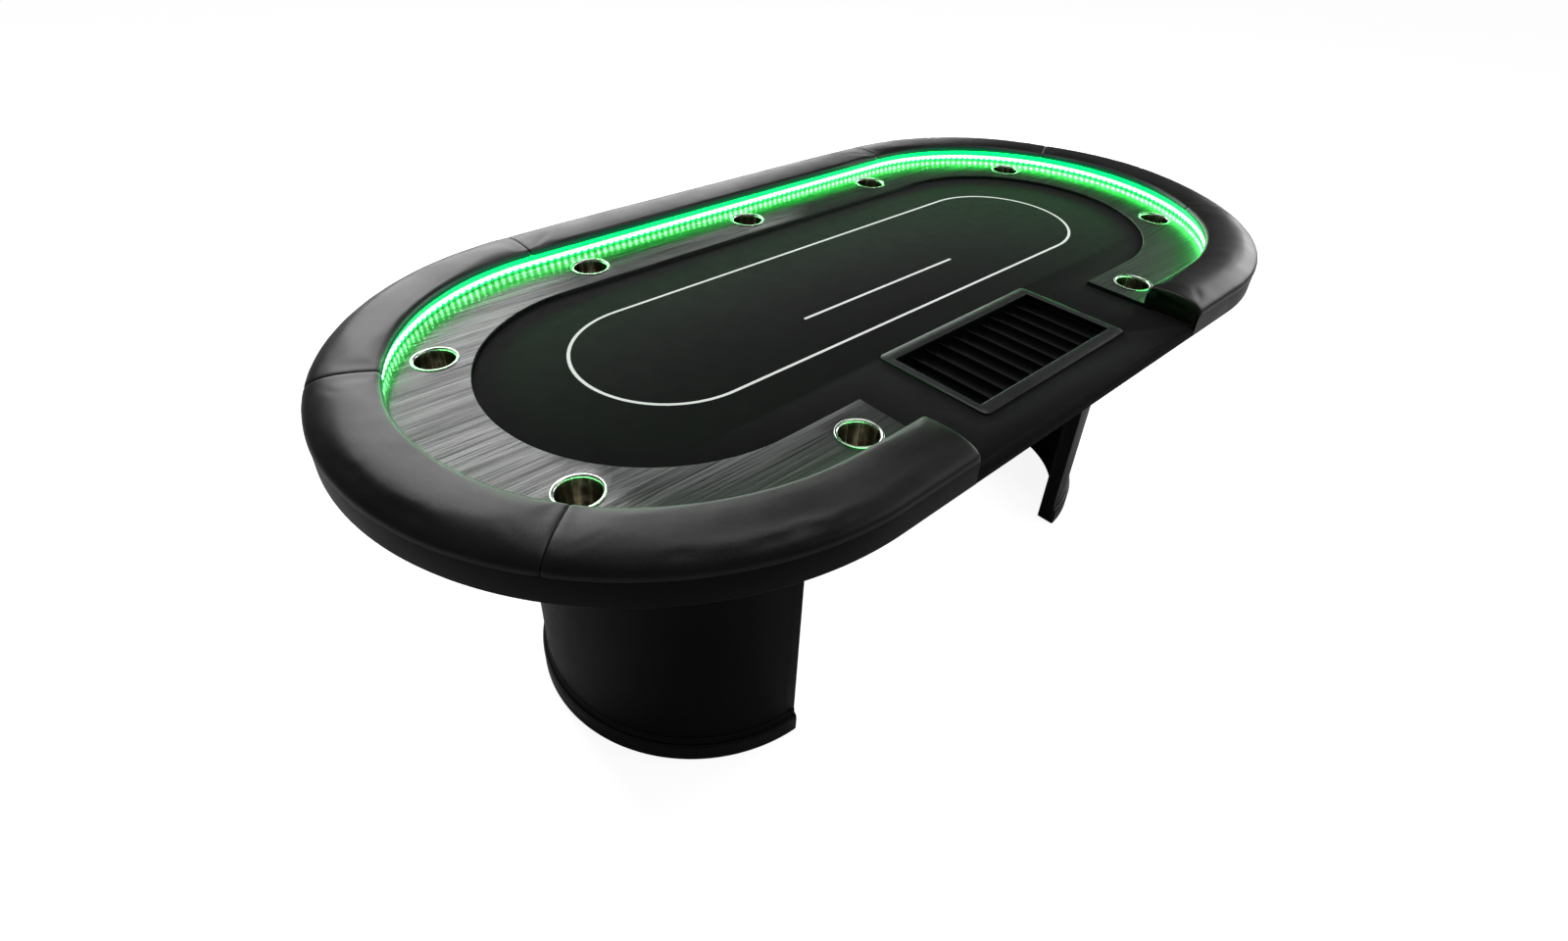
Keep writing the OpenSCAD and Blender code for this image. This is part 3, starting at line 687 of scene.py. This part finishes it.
def make_pad(name, start, end, sewn):
    """One sewn length of rail: a slack skin round the foam, swelled by a cloth simulation."""
    profile = pad_profile()
    stations = pad_stations(start, end, sewn)
    sections = []
    for along, dip in stations:
        section = []
        for (radius, height), (_, flat) in zip(inset(profile, dip + PAD_SLACK), profile):
            foot = flat < PAD_BOTTOM + 0.001
            section.append((*ring_place(along, radius), PAD_BOTTOM if foot else max(height, PAD_BOTTOM)))
        sections.append(section)
    pad = lofted(name, sections, slot="rail_vinyl", stands_for=[name])
    swell(pad, len(profile), [along for along, _ in stations], start, end, sewn)
    smooth(pad, 60)


def hold_weights(size, places, start, end, sewn):
    """How free each point of a pad is, from 0 at its foot and ends to 1."""
    free = []
    for along in places:
        reach = 1.0
        for side, distance in enumerate((along - start, end - along)):
            reach = min(reach, distance / (SEWN_HOLD if sewn[side] else OPEN_HOLD))
        reach = max(0.0, min(1.0, reach))
        free += [reach * reach * (3 - 2 * reach)] * size
    return free


def swell(pad, size, places, start, end, sewn):
    """Cloth under a little pressure; how far a point may move is capped."""
    free = hold_weights(size, places, start, end, sewn)
    rest = [v.co.copy() for v in pad.data.vertices]
    foot = PAD_BOTTOM + 0.002
    for i, point in enumerate(rest):
        if point.z < foot:
            free[i] = 0.0
    normals = [v.normal.copy() for v in pad.data.vertices]
    moved = simulate(pad, free)
    for i, vertex in enumerate(pad.data.vertices):
        push = (moved[i] - rest[i]).dot(normals[i]) if moved else PAD_SWELL * QUICK_SWELL
        push = max(0.0, min(PAD_SWELL, push)) * free[i]
        crease = noise.noise(rest[i] * 26) * 0.0004 + noise.noise(rest[i] * 90) * 0.00012
        pulled = pucker(rest[i], i // size, places, start, end, sewn)
        vertex.co = rest[i] + normals[i] * (push + (crease * free[i]) + pulled)
        vertex.co.z = max(vertex.co.z, PAD_BOTTOM)


def pucker(point, row, places, start, end, sewn):
    """Short folds that fan out from a seam."""
    depth = 0.0
    for side, distance in enumerate((places[row] - start, end - places[row])):
        if sewn[side] and distance < PUCKER_REACH:
            share = distance / PUCKER_REACH
            across = math.hypot(point.x, point.y)
            fold = noise.noise(Vector((across * 95, point.z * 95, side * 7.3)))
            depth += fold * PUCKER_DEPTH * math.sin(math.pi * min(1, share)) * (1 - share)
    return depth


def simulate(pad, free):
    """Runs the cloth simulation on a pad and gives where its points end."""
    group = pad.vertex_groups.new(name="held")
    for i, value in enumerate(free):
        group.add([i], 1.0 - value, "REPLACE")
    step = pad.modifiers.new("cloth", "CLOTH")
    settings = step.settings
    settings.use_pressure = True
    settings.uniform_pressure_force = 4.0
    settings.effector_weights.gravity = 0
    settings.quality = 5
    settings.mass = 0.4
    settings.tension_stiffness = 40
    settings.compression_stiffness = 40
    settings.bending_stiffness = 2
    settings.vertex_group_mass = "held"
    step.collision_settings.use_collision = False
    scene = bpy.context.scene
    step.point_cache.frame_start = 1
    step.point_cache.frame_end = SIM_FRAMES
    for number in range(1, SIM_FRAMES + 1):
        scene.frame_set(number)
    graph = bpy.context.evaluated_depsgraph_get()
    shape = pad.evaluated_get(graph).to_mesh()
    moved = [v.co.copy() for v in shape.vertices]
    pad.evaluated_get(graph).to_mesh_clear()
    pad.modifiers.clear()
    pad.vertex_groups.clear()
    scene.frame_set(1)
    return moved


def rail_pads():
    """Seven pads; their seams are where the CAD's pads meet."""
    far_seam = math.acos((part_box("rail_pad_far_right")[1][0] - ARC_X) / RAIL_R)
    near_seam = math.acos((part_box("rail_pad_near_right")[1][0] - ARC_X) / RAIL_R)
    left_near = RAIL_LINE + (math.pi / 2 - near_seam) * WALL_R
    left_far = RAIL_LINE + (math.pi / 2 + far_seam) * WALL_R
    left_end = RAIL_LINE + END_LINE
    right_end = left_end + 2 * ARC_X
    right_far = right_end + (math.pi / 2 - far_seam) * WALL_R
    right_near = right_end + (math.pi / 2 + near_seam) * WALL_R
    marks = [0, left_near, left_far, left_end, right_end, right_far, right_near, RING_LENGTH]
    names = ["near_left", "left", "far_left", "far", "far_right", "right", "near_right"]
    gap = 0.0003
    for i, name in enumerate(names):
        sewn = (i > 0, i < len(names) - 1)
        start = marks[i] + (gap if sewn[0] else 0)
        end = marks[i + 1] - (gap if sewn[1] else 0)
        make_pad("rail_pad_" + name, start, end, sewn)


def rail_end_skins():
    """Vinyl over the cut ends of the rail's base and the wall with painted glow, below the pads next to the
    dealer.
    """
    low = TRACK_LOW[2] + 0.005
    deck_r = APRON_R - 0.006
    inner = NOSE_R + 0.002
    tuck = 0.012
    step = TRACK_TOP + 0.0001
    profile = [(-deck_r, low), (-CHANNEL_R, low), (-CHANNEL_R, step), (-inner, step),
               (-inner, NOSE_BOTTOM + 0.004), (-inner - 0.008, NOSE_BOTTOM + tuck),
               (-deck_r + 0.012, PAD_BOTTOM + tuck), (-deck_r, PAD_BOTTOM)]
    for side, name in ((-1, "left"), (1, "right")):
        xs = sorted((side * (DEALER_X + 0.0002), side * (DEALER_X + END_SKIN)))
        skin = lofted("rail_end_skin_" + name, [[(x, y, z) for y, z in profile] for x in xs],
                      slot="rail_vinyl")
        smooth(bevel(skin, 0.0010, 3))


# ---- Apron, light channel, race track ----

def apron():
    """The wrapped band round the deck's edge, with soft arrises; its vinyl is a darker copy of the rail's,
    as painted shade.
    """
    inner, top = APRON_R - 0.006, APRON_HIGH[2]
    soft = 0.0022
    profile = [(inner, DECK_BOTTOM), (inner, top), (APRON_R - soft, top)]
    profile += arc((APRON_R - soft, top - soft), soft, 80, 0, 4)
    profile += [(APRON_R, (top + DECK_BOTTOM) / 2)]
    profile += arc((APRON_R - soft, DECK_BOTTOM + soft), soft, 0, -90, 4)
    band = ring_sweep("apron_wrap", profile, slot="apron_vinyl", stands_for=["apron_band"])
    smooth(band, 50)


def channel():
    """The wall under the rail's nose, with its lamps' light painted on it as glow."""
    low, high = CHANNEL_LOW[2], CHANNEL_HIGH[2]
    heights = spread(low, high, 0.004)
    profile = [(WALL_R, z) for z in heights] + [(CHANNEL_R, high), (CHANNEL_R, low)]
    lit_sweep("light_wall", profile, "channel_plastic", "light_channel", 50)


def light_strip():
    """The flexible strip with a domed gel coat."""
    low, high = STRIP_LOW[2], STRIP_HIGH[2]
    inner, middle = STRIP_R, (low + high) / 2
    profile = [(WALL_R, low), (inner + 0.0004, low), (inner, low + 0.0015), (inner - 0.0003, middle),
               (inner, high - 0.0015), (inner + 0.0004, high), (WALL_R, high)]
    lit_sweep("light_strip", profile, "led_light", "led_strip", 40)


def lit_sweep(name, profile, slot, node, angle):
    """A glowing sweep, the lamp strip or the wall with its painted light; its UV follows the length, and the
    height as a share of the wall's.
    """
    piece = ring_sweep(name, profile, LIT_START, LIT_END, LIT_STEP, slot=slot, stands_for=[node])
    low, high = CHANNEL_LOW[2], CHANNEL_HIGH[2]
    places = spread(LIT_START, LIT_END, LIT_STEP)
    layer = piece.data.uv_layers.new(name="wall")
    for loop in piece.data.loops:
        row, column = divmod(loop.vertex_index, len(profile))
        layer.data[loop.index].uv = (places[row], (profile[column][1] - low) / (high - low))
    smooth(piece, angle)


def light_chips():
    """The strip's lamps: small blocks with sloped sides, one to each pitch."""
    middle = (STRIP_LOW[2] + STRIP_HIGH[2]) / 2
    verts, faces = [], []
    half_w, half_h, depth = 0.0026, 0.0036, 0.0012
    base = STRIP_R - 0.0002
    rows = ((base, 1.0), (base - depth * 0.7, 0.9), (base - depth, 0.6))
    for i in range(int((LIT_END - LIT_START) / LED_PITCH)):
        along = LIT_START + (i + 0.5) * LED_PITCH
        first = len(verts)
        for radius, share in rows:
            for dx, dz in ((-1, -1), (1, -1), (1, 1), (-1, 1)):
                x, y = ring_place(along + dx * half_w * share, radius)
                verts.append((x, y, middle + dz * half_h * share))
        for k in (0, 4):
            for j in range(4):
                n = (j + 1) % 4
                faces.append((first + k + j, first + k + n, first + k + 4 + n, first + k + 4 + j))
        faces.append(tuple(first + 8 + j for j in range(4)))
        faces.append(tuple(first + j for j in (3, 2, 1, 0)))
    outward(new_piece("light_chips", verts, faces, slot="led_light", material=CHIP_GLOW))


def race_track():
    """The raised oak ring with its cup holes and a softly chamfered inner edge."""
    low, top, inner, outer = TRACK_LOW[2], TRACK_TOP, TRACK_R, CHANNEL_R
    edge = 0.0016
    profile = [(inner, low), (inner, top - edge)]
    profile += arc((inner + edge, top - edge), edge, 170, 90, 4)
    profile += [(outer, top), (outer, low)]
    track = ring_sweep("race_track_board", profile, step=0.010, slot="track_veneer",
                       stands_for=["race_track"])
    hole_r = CUP_RIM_R - 0.0051
    for name in CUPS:
        x, y = cup_centre(name)
        bpy.ops.mesh.primitive_cylinder_add(vertices=48, radius=hole_r, depth=0.05,
                                            location=(x, y, top))
        cutter = bpy.context.object
        step = track.modifiers.new("hole", "BOOLEAN")
        step.operation = "DIFFERENCE"
        step.object = cutter
        step.solver = "EXACT"
        apply_modifiers(track)
        bpy.data.objects.remove(cutter)
    smooth(track, 30)


def cup_centre(name):
    """The middle of a cup's box, seen from above."""
    low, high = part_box(name)
    return ((low[0] + high[0]) / 2, (low[1] + high[1]) / 2)


LIP_ROUND = 0.0046


def cups():
    """Nine drawn steel cups with rolled rims."""
    wall = 0.001
    inner = CUP_RIM_R - 0.0081
    rim_r = CUP_RIM_R - 0.0018
    outside = inner + wall
    for i, name in enumerate(CUPS):
        low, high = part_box(name)
        base, top = low[2], high[2]
        rim_low = TRACK_TOP + 0.0002
        profile = [(0.0004, base + 0.001), (inner - 0.010, base + 0.001)]
        profile += arc((inner - 0.005, base + wall + 0.005), 0.005, -80, 0, 6)
        profile += [(inner, base + 0.02), (inner, top - LIP_ROUND)]
        profile += arc((inner + LIP_ROUND, top - LIP_ROUND), LIP_ROUND, 170, 84, 8)
        profile += arc((rim_r - 0.001, rim_low + 0.001), 0.001, 60, -60, 5)
        profile += [(outside + 0.0003, rim_low), (outside, rim_low - 0.001), (outside, base + 0.006)]
        profile += arc((outside - 0.006, base + 0.006), 0.006, 0, -85, 5)
        profile += [(0.0004, base)]
        cup = lathe("cup_steel_%d" % (i + 1), profile, cup_centre(name), body="cup_%d" % (i + 1),
                    slot="cup_steel", stands_for=[name])
        smooth(cup, 35)


# ---- Playing surface ----

def rounded_box(x0, y0, x1, y1, radius, count=8):
    """A rectangle with round corners, counterclockwise."""
    points = []
    for cx, cy, start in ((x1 - radius, y0 + radius, -90), (x1 - radius, y1 - radius, 0),
                          (x0 + radius, y1 - radius, 90), (x0 + radius, y0 + radius, 180)):
        points += arc((cx, cy), radius, start, start + 90, count)
    return points


def play_outline(radius, edge_y, half_x):
    """The sheet inside the race track, out to a straight edge at the dealer."""
    points = [(half_x, -edge_y), (half_x, -radius)]
    points += arc((ARC_X, 0), radius, -90, 90, 64)
    points += arc((-ARC_X, 0), radius, 90, 270, 64)
    points += [(-half_x, -radius), (-half_x, -edge_y)]
    return points


def cloth():
    """The stretched playing cloth: flat inside the track, and wrapped over the dealer's edge."""
    top, low = CLOTH_TOP, UNDERLAY_TOP
    thick = top - low
    half_x = EDGE_HALF
    bend = EDGE_ROUND + thick
    edge = -CLOTH_LOW[1]
    straight = edge - bend
    tray_gap = 0.0004
    hole = rounded_box(TRAY_LOW[0] - tray_gap, TRAY_LOW[1] - tray_gap, TRAY_HIGH[0] + tray_gap,
                       TRAY_HIGH[1] + tray_gap, TRAY_CORNER)
    outline = play_outline(CLOTH_R, straight, half_x)
    flat = prism("playing_cloth_flat", outline, low, top, holes=[hole[::-1]], slot="table_cloth")
    bevel(flat, 0.0005, 2, 60)
    profile = [(-straight, low), (-straight, top)]
    centre = (-straight, top - bend)
    profile += arc(centre, bend, 93, 180, 14)
    profile += [(-edge, DECK_BOTTOM + 0.0015), (-edge + 0.0003, DECK_BOTTOM),
                (-edge + thick, DECK_BOTTOM)]
    profile += arc(centre, bend - thick, 180, 92, 14)
    sections = [[(x, y, z) for y, z in profile] for x in spread(-half_x, half_x, 0.02)]
    wrap = lofted("cloth_wrap", sections, slot="table_cloth")
    return flat, wrap, edge, bend


def joined(name, first, second):
    """Two touching pieces as one mesh, welded along their shared edge."""
    work = bmesh.new()
    for obj in (first, second):
        work.from_mesh(obj.data)
    bmesh.ops.remove_doubles(work, verts=work.verts, dist=0.00002)
    work.to_mesh(first.data)
    work.free()
    bpy.data.objects.remove(second)
    first.name = name
    return first


def play_cloth():
    """The cloth as one sheet: its flat part and its wrap, welded together."""
    flat, wrap, edge, bend = cloth()
    sheet = joined("playing_cloth_sheet", flat, wrap)
    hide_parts("playing_cloth")
    smooth(sheet, 40)


OVAL_HALF, OVAL_R, OVAL_Y = 0.501, 0.179, 0.019
LINE_HALF, LINE_Y = 0.230, -0.050
PRINT_WIDTH = 0.0062
INK = 0.0002


def prints():
    """The plain printed oval and the centre line."""
    ring = []
    for cx, start in ((OVAL_HALF, -90), (-OVAL_HALF, 90)):
        for x, y in arc((cx, 0), 1.0, start, start + 180, 48):
            ring.append((cx, x - cx, y))
    sections = []
    for cx, nx, ny in ring:
        cross = []
        for r, z in ((-0.5, 0.0), (-0.42, INK), (0.42, INK), (0.5, 0.0)):
            reach = OVAL_R + r * PRINT_WIDTH
            cross.append((cx + nx * reach, OVAL_Y + ny * reach, CLOTH_TOP + z))
        sections.append(cross)
    lofted("cloth_print_oval", sections, closed_path=True, slot="table_cloth", material=PRINT_INK)
    half = PRINT_WIDTH / 2
    line = rounded_box(-LINE_HALF, LINE_Y - half, LINE_HALF, LINE_Y + half, 0.0015, 3)
    prism("cloth_print_line", line, CLOTH_TOP, CLOTH_TOP + INK, slot="table_cloth",
          material=PRINT_INK)


# ---- Chip tray ----

def tray_frame():
    """The satin frame: round corners, soft arrises, and a collar that goes down the well."""
    top, low = TRAY_HIGH[2], UNDERLAY_TOP + 0.0003
    collar = TRAY_LOW[2]
    x0, y0, x1, y1 = TRAY_LOW[0], TRAY_LOW[1], TRAY_HIGH[0], TRAY_HIGH[1]
    wx, wy0, wy1 = PAN_HIGH[0], PAN_LOW[1], PAN_HIGH[1]
    outer = [(0, low), (0, top - 0.0022), (0.0006, top - 0.0008), (0.0020, top)]
    sections = []
    for away, z in outer:
        shape = rounded_box(x0 + away, y0 + away, x1 - away, y1 - away, TRAY_CORNER - away * 0.8)
        sections.append([(x, y, z) for x, y in shape])
    inner = [(-0.0022, top), (-0.0010, top - 0.0003), (0, top - 0.0012), (0, collar), (-0.0015, collar),
             (-0.0015, low)]
    for away, z in inner:
        shape = rounded_box(-wx + away, wy0 + away, wx - away, wy1 - away, 0.0022 - away * 0.5)
        sections.append([(x, y, z) for x, y in shape])
    made = lofted("tray_frame", sections, closed_path=True, body="chip_tray",
                  slot="tray_frame_metal", stands_for=["chip_tray_frame"])
    smooth(made, 35)


GROOVE_R, GROOVE_PITCH, GROOVES = 0.0196, 0.0415, 10


def tray_pan():
    """The grooved floor: each trough ends in a rounded wall, and the ridges are softly rounded."""
    wx, y0, y1 = PAN_HIGH[0], PAN_LOW[1], PAN_HIGH[1]
    wall, rim = 0.002, PAN_HIGH[2]
    ridge = rim - 0.011
    inner_x = wx - wall
    columns = []
    for i in range(GROOVES):
        centre = (i - (GROOVES - 1) / 2) * GROOVE_PITCH
        for angle in spread(-math.pi / 2, math.pi / 2, math.pi / 14):
            columns.append((centre + GROOVE_R * math.sin(angle), math.cos(angle)))
        if i < GROOVES - 1:
            columns.append((centre + GROOVE_PITCH / 2, -0.03))
    columns = [(-inner_x, -0.02)] + columns + [(inner_x, -0.02)]
    rows = []
    ends = spread(0, 1, 1 / 7)
    for y_end, direction in ((y0 + wall, 1), (y1 - wall, -1)):
        part = []
        for t in ends:
            turn = t * math.pi / 2
            part.append((y_end + direction * 0.012 * (1 - math.cos(turn)), math.sin(turn)))
        rows.append(part)
    lines = rows[0] + [(y, 1.0) for y in spread(y0 + 0.04, y1 - 0.04, 0.05)] + rows[1][::-1]
    verts, faces = [], []
    for y, share in lines:
        for x, depth in columns:
            verts.append((x, y, ridge - GROOVE_R * max(depth, -0.03) * (share if depth > 0 else 1)))
    wide = len(columns)
    for i in range(len(lines) - 1):
        for j in range(wide - 1):
            faces.append((i * wide + j, i * wide + j + 1, (i + 1) * wide + j + 1, (i + 1) * wide + j))
    grooves = new_piece("tray_grooves", verts, faces, body="chip_tray", slot="tray_pan_plastic")
    thick = grooves.modifiers.new("thick", "SOLIDIFY")
    thick.thickness = 0.0016
    thick.offset = -1
    apply_modifiers(grooves)
    smooth(outward(grooves), 50)
    sections = []
    for away, z in ((0.0, ridge - 0.0014), (0.0, rim - 0.0005), (0.0005, rim), (wall - 0.0005, rim),
                    (wall, rim - 0.0005), (wall, ridge - 0.0014)):
        shape = rounded_box(-wx + away, y0 + away, wx - away, y1 - away, 0.0022 - away * 0.5)
        sections.append([(x, y, z) for x, y in shape])
    walls = lofted("tray_walls", sections, closed_path=True, body="chip_tray",
                   slot="tray_pan_plastic", stands_for=["chip_tray_pan"])
    smooth(walls, 35)


# ---- Legs ----

def leg_arc(side, centre, radius, plane, step=2.5):
    """The outline points of a leg's curve at a radius, where it is beyond a plane, from +Y to -Y."""
    limit = math.degrees(math.acos(plane / radius))
    count = max(2, round(2 * limit / step))
    return [(side * (centre + x), y) for x, y in arc((0, 0), radius, limit, -limit, count)]


LEG_SKIN = 0.006


def legs():
    """Two curved shells with square ends and a moulded plinth round the outside."""
    for side, name in ((-1, "left"), (1, "right")):
        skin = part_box(name + "_leg_outer_skin")
        plinth_low, plinth_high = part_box(name + "_leg_plinth")
        post_near, post_far, post_reach = across(name + "_leg_end_posts")
        outer_far = across(name + "_leg_outer_skin")[1]
        inner_far = across(name + "_leg_inner_skin")[1]
        depth = outer_far - post_near
        outer_r = (post_reach ** 2 + depth ** 2) / (2 * depth)
        centre = outer_far - outer_r
        front, back = post_near - centre, post_far - centre
        inner_outer = inner_far - centre
        inner_r = inner_outer - LEG_SKIN
        low, high = skin[0][2], skin[1][2]
        curved_panel(name + "_leg_shell_outside", side, centre, outer_r - LEG_SKIN, outer_r, back, low,
                     high, name + "_leg_outer_skin")
        curved_panel(name + "_leg_shell_inside", side, centre, inner_r, inner_outer, back, low, high,
                     name + "_leg_inner_skin")
        leg_posts(name, side, centre, inner_r, outer_r, front, back, low, high)
        leg_plinth(name, side, centre, outer_r, plinth_high[2] - plinth_low[2], front, plinth_low[2])


def across(node):
    """A leg node's nearest and farthest X from the table's middle, and its reach in Y."""
    low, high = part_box(node)
    ends = sorted((abs(low[0]), abs(high[0])))
    return ends[0], ends[1], high[1]


def curved_panel(name, side, centre, inner, outer, plane, low, high, node):
    """A curved sheet of a leg's shell, cut off square at a plane."""
    outline = leg_arc(side, centre, outer, plane) + leg_arc(side, centre, inner, plane)[::-1]
    panel = prism(name, outline, low, high, slot="leg_lacquer", stands_for=[node])
    smooth(panel, 30)


def leg_posts(name, side, centre, inner, outer, front, back, low, high):
    """The square ends of the shell, with small rounded arrises."""
    for face, label in ((1, "far"), (-1, "near")):
        outline = []
        for radius, order in ((outer, 1), (inner, -1)):
            part = []
            for x in spread(front, back, 0.0055):
                part.append((side * (centre + x), face * math.sqrt(radius ** 2 - x ** 2)))
            outline += part[::order]
        stands = [name + "_leg_end_posts"] if face > 0 else []
        post = prism("%s_leg_post_%s" % (name, label), outline, low, high, slot="leg_lacquer",
                     stands_for=stands)
        bevel(post, 0.0015, 3, 50)
        smooth(post, 30)


def leg_plinth(name, side, centre, radius, height, front, low):
    """A stepped moulding: fillet, cove and shoulder above a plain face."""
    out = 0.010
    top = low + height
    profile = [(0, low), (out - 0.001, low), (out, low + 0.001), (out, top - 0.0210),
               (out - 0.0004, top - 0.0204), (out - 0.0013, top - 0.0180), (out - 0.0015, top - 0.0150),
               (out - 0.0017, top - 0.0142)]
    profile += arc((out - 0.0015, top - 0.007), 0.0068, 268, 182, 8)
    profile += [(0.0017, top - 0.0052), (0.0015, top - 0.0018), (0.0010, top - 0.0004), (0, top)]
    sections = []
    limit = math.acos(front / radius)
    for angle in spread(-limit, limit, 0.03):
        ca, sa = math.cos(angle), math.sin(angle)
        sections.append([(side * (centre + (radius + x) * ca), (radius + x) * sa, z) for x, z in profile])
    mould = lofted(name + "_leg_moulding", sections, slot="plinth_lacquer",
                   stands_for=[name + "_leg_plinth"])
    smooth(mould, 30)


# ---- Stage, lights and camera ----

FLOOR_HALF = 60
WORLD_STRENGTH = 0.10
LIGHTS = (
    # name, place, what it points at, size, power
    ("window_low", (1.45, 4.6, 2.4), (-0.2, 0.3, 0.8), (4.4, 1.6), 55),
    ("window_high", (0.6, 4.6, 4.25), (-0.8, 0.0, 0.8), (2.6, 1.4), 70),
    ("horizon", (2.2, 4.6, 1.45), (-0.3, 0.0, 0.8), (6.0, 0.7), 55),
    ("room", (3.3, -3.4, 3.2), (0.0, -0.2, 0.6), (3.6, 2.6), 26),
    ("right_bank", (4.6, -0.6, 1.7), (1.0, 0, 0.8), (2.0, 1.4), 45),
    ("overhead", (0.6, 0.4, 4.2), (0, 0, 0.7), (2.6, 1.6), 30),
)
CAMERA_PLACE = Vector((-1.26487, -1.05468, 1.51601))
CAMERA_TARGET = Vector((-0.50284, -0.28676, 0.75511))
CAMERA_ROLL = -0.0546
CAMERA_LENS = 19.150
CAMERA_SHIFT = (-0.00066, -0.03135)


def floor():
    """A wide pale floor just under the glides."""
    half = FLOOR_HALF
    mesh = bpy.data.meshes.new("floor")
    corners = [(-half, -half, 0), (half, -half, 0), (half, half, 0), (-half, half, 0)]
    mesh.from_pydata(corners, [], [(0, 1, 2, 3)])
    obj = bpy.data.objects.new("floor", mesh)
    obj.location.z = -0.0002
    bpy.context.scene.collection.objects.link(obj)
    mesh.materials.append(floor_white("studio_floor"))


def area_light(name, place, target, size, power):
    """A soft rectangular light that points at a target."""
    data = bpy.data.lights.new(name, "AREA")
    data.shape = "RECTANGLE"
    data.size, data.size_y = size
    data.energy = power
    obj = bpy.data.objects.new(name, data)
    bpy.context.scene.collection.objects.link(obj)
    obj.location = place
    obj.rotation_euler = (Vector(target) - Vector(place)).to_track_quat("-Z", "Y").to_euler()


def lights():
    """An even dim world and the studio's soft lights."""
    world = bpy.data.worlds.new("studio")
    world.use_nodes = True
    back = world.node_tree.nodes["Background"]
    back.inputs["Color"].default_value = (1, 1, 1, 1)
    back.inputs["Strength"].default_value = WORLD_STRENGTH
    bpy.context.scene.world = world
    for light in LIGHTS:
        area_light(*light)


def camera():
    """The viewpoint, found by fitting the table's outline."""
    forward = (CAMERA_TARGET - CAMERA_PLACE).normalized()
    right = forward.cross(Vector((0, 0, 1))).normalized()
    down = forward.cross(right)
    turned_right = right * math.cos(CAMERA_ROLL) + down * math.sin(CAMERA_ROLL)
    turned_down = down * math.cos(CAMERA_ROLL) - right * math.sin(CAMERA_ROLL)
    data = bpy.data.cameras.new("camera")
    data.sensor_width = 36
    data.lens = CAMERA_LENS
    data.shift_x, data.shift_y = CAMERA_SHIFT
    data.clip_end = 200
    obj = bpy.data.objects.new("camera", data)
    rows = Matrix((turned_right, -turned_down, -forward)).transposed()
    obj.matrix_world = Matrix.Translation(CAMERA_PLACE) @ rows.to_4x4()
    bpy.context.scene.collection.objects.link(obj)
    bpy.context.scene.camera = obj


def main():
    """Dresses every node, then sets the stage."""
    dress_frame()
    apron()
    channel()
    light_strip()
    light_chips()
    race_track()
    rail_pads()
    rail_end_skins()
    cups()
    play_cloth()
    prints()
    tray_frame()
    tray_pan()
    legs()
    floor()
    lights()
    camera()
    bpy.context.scene.view_settings.view_transform = "Standard"


main()
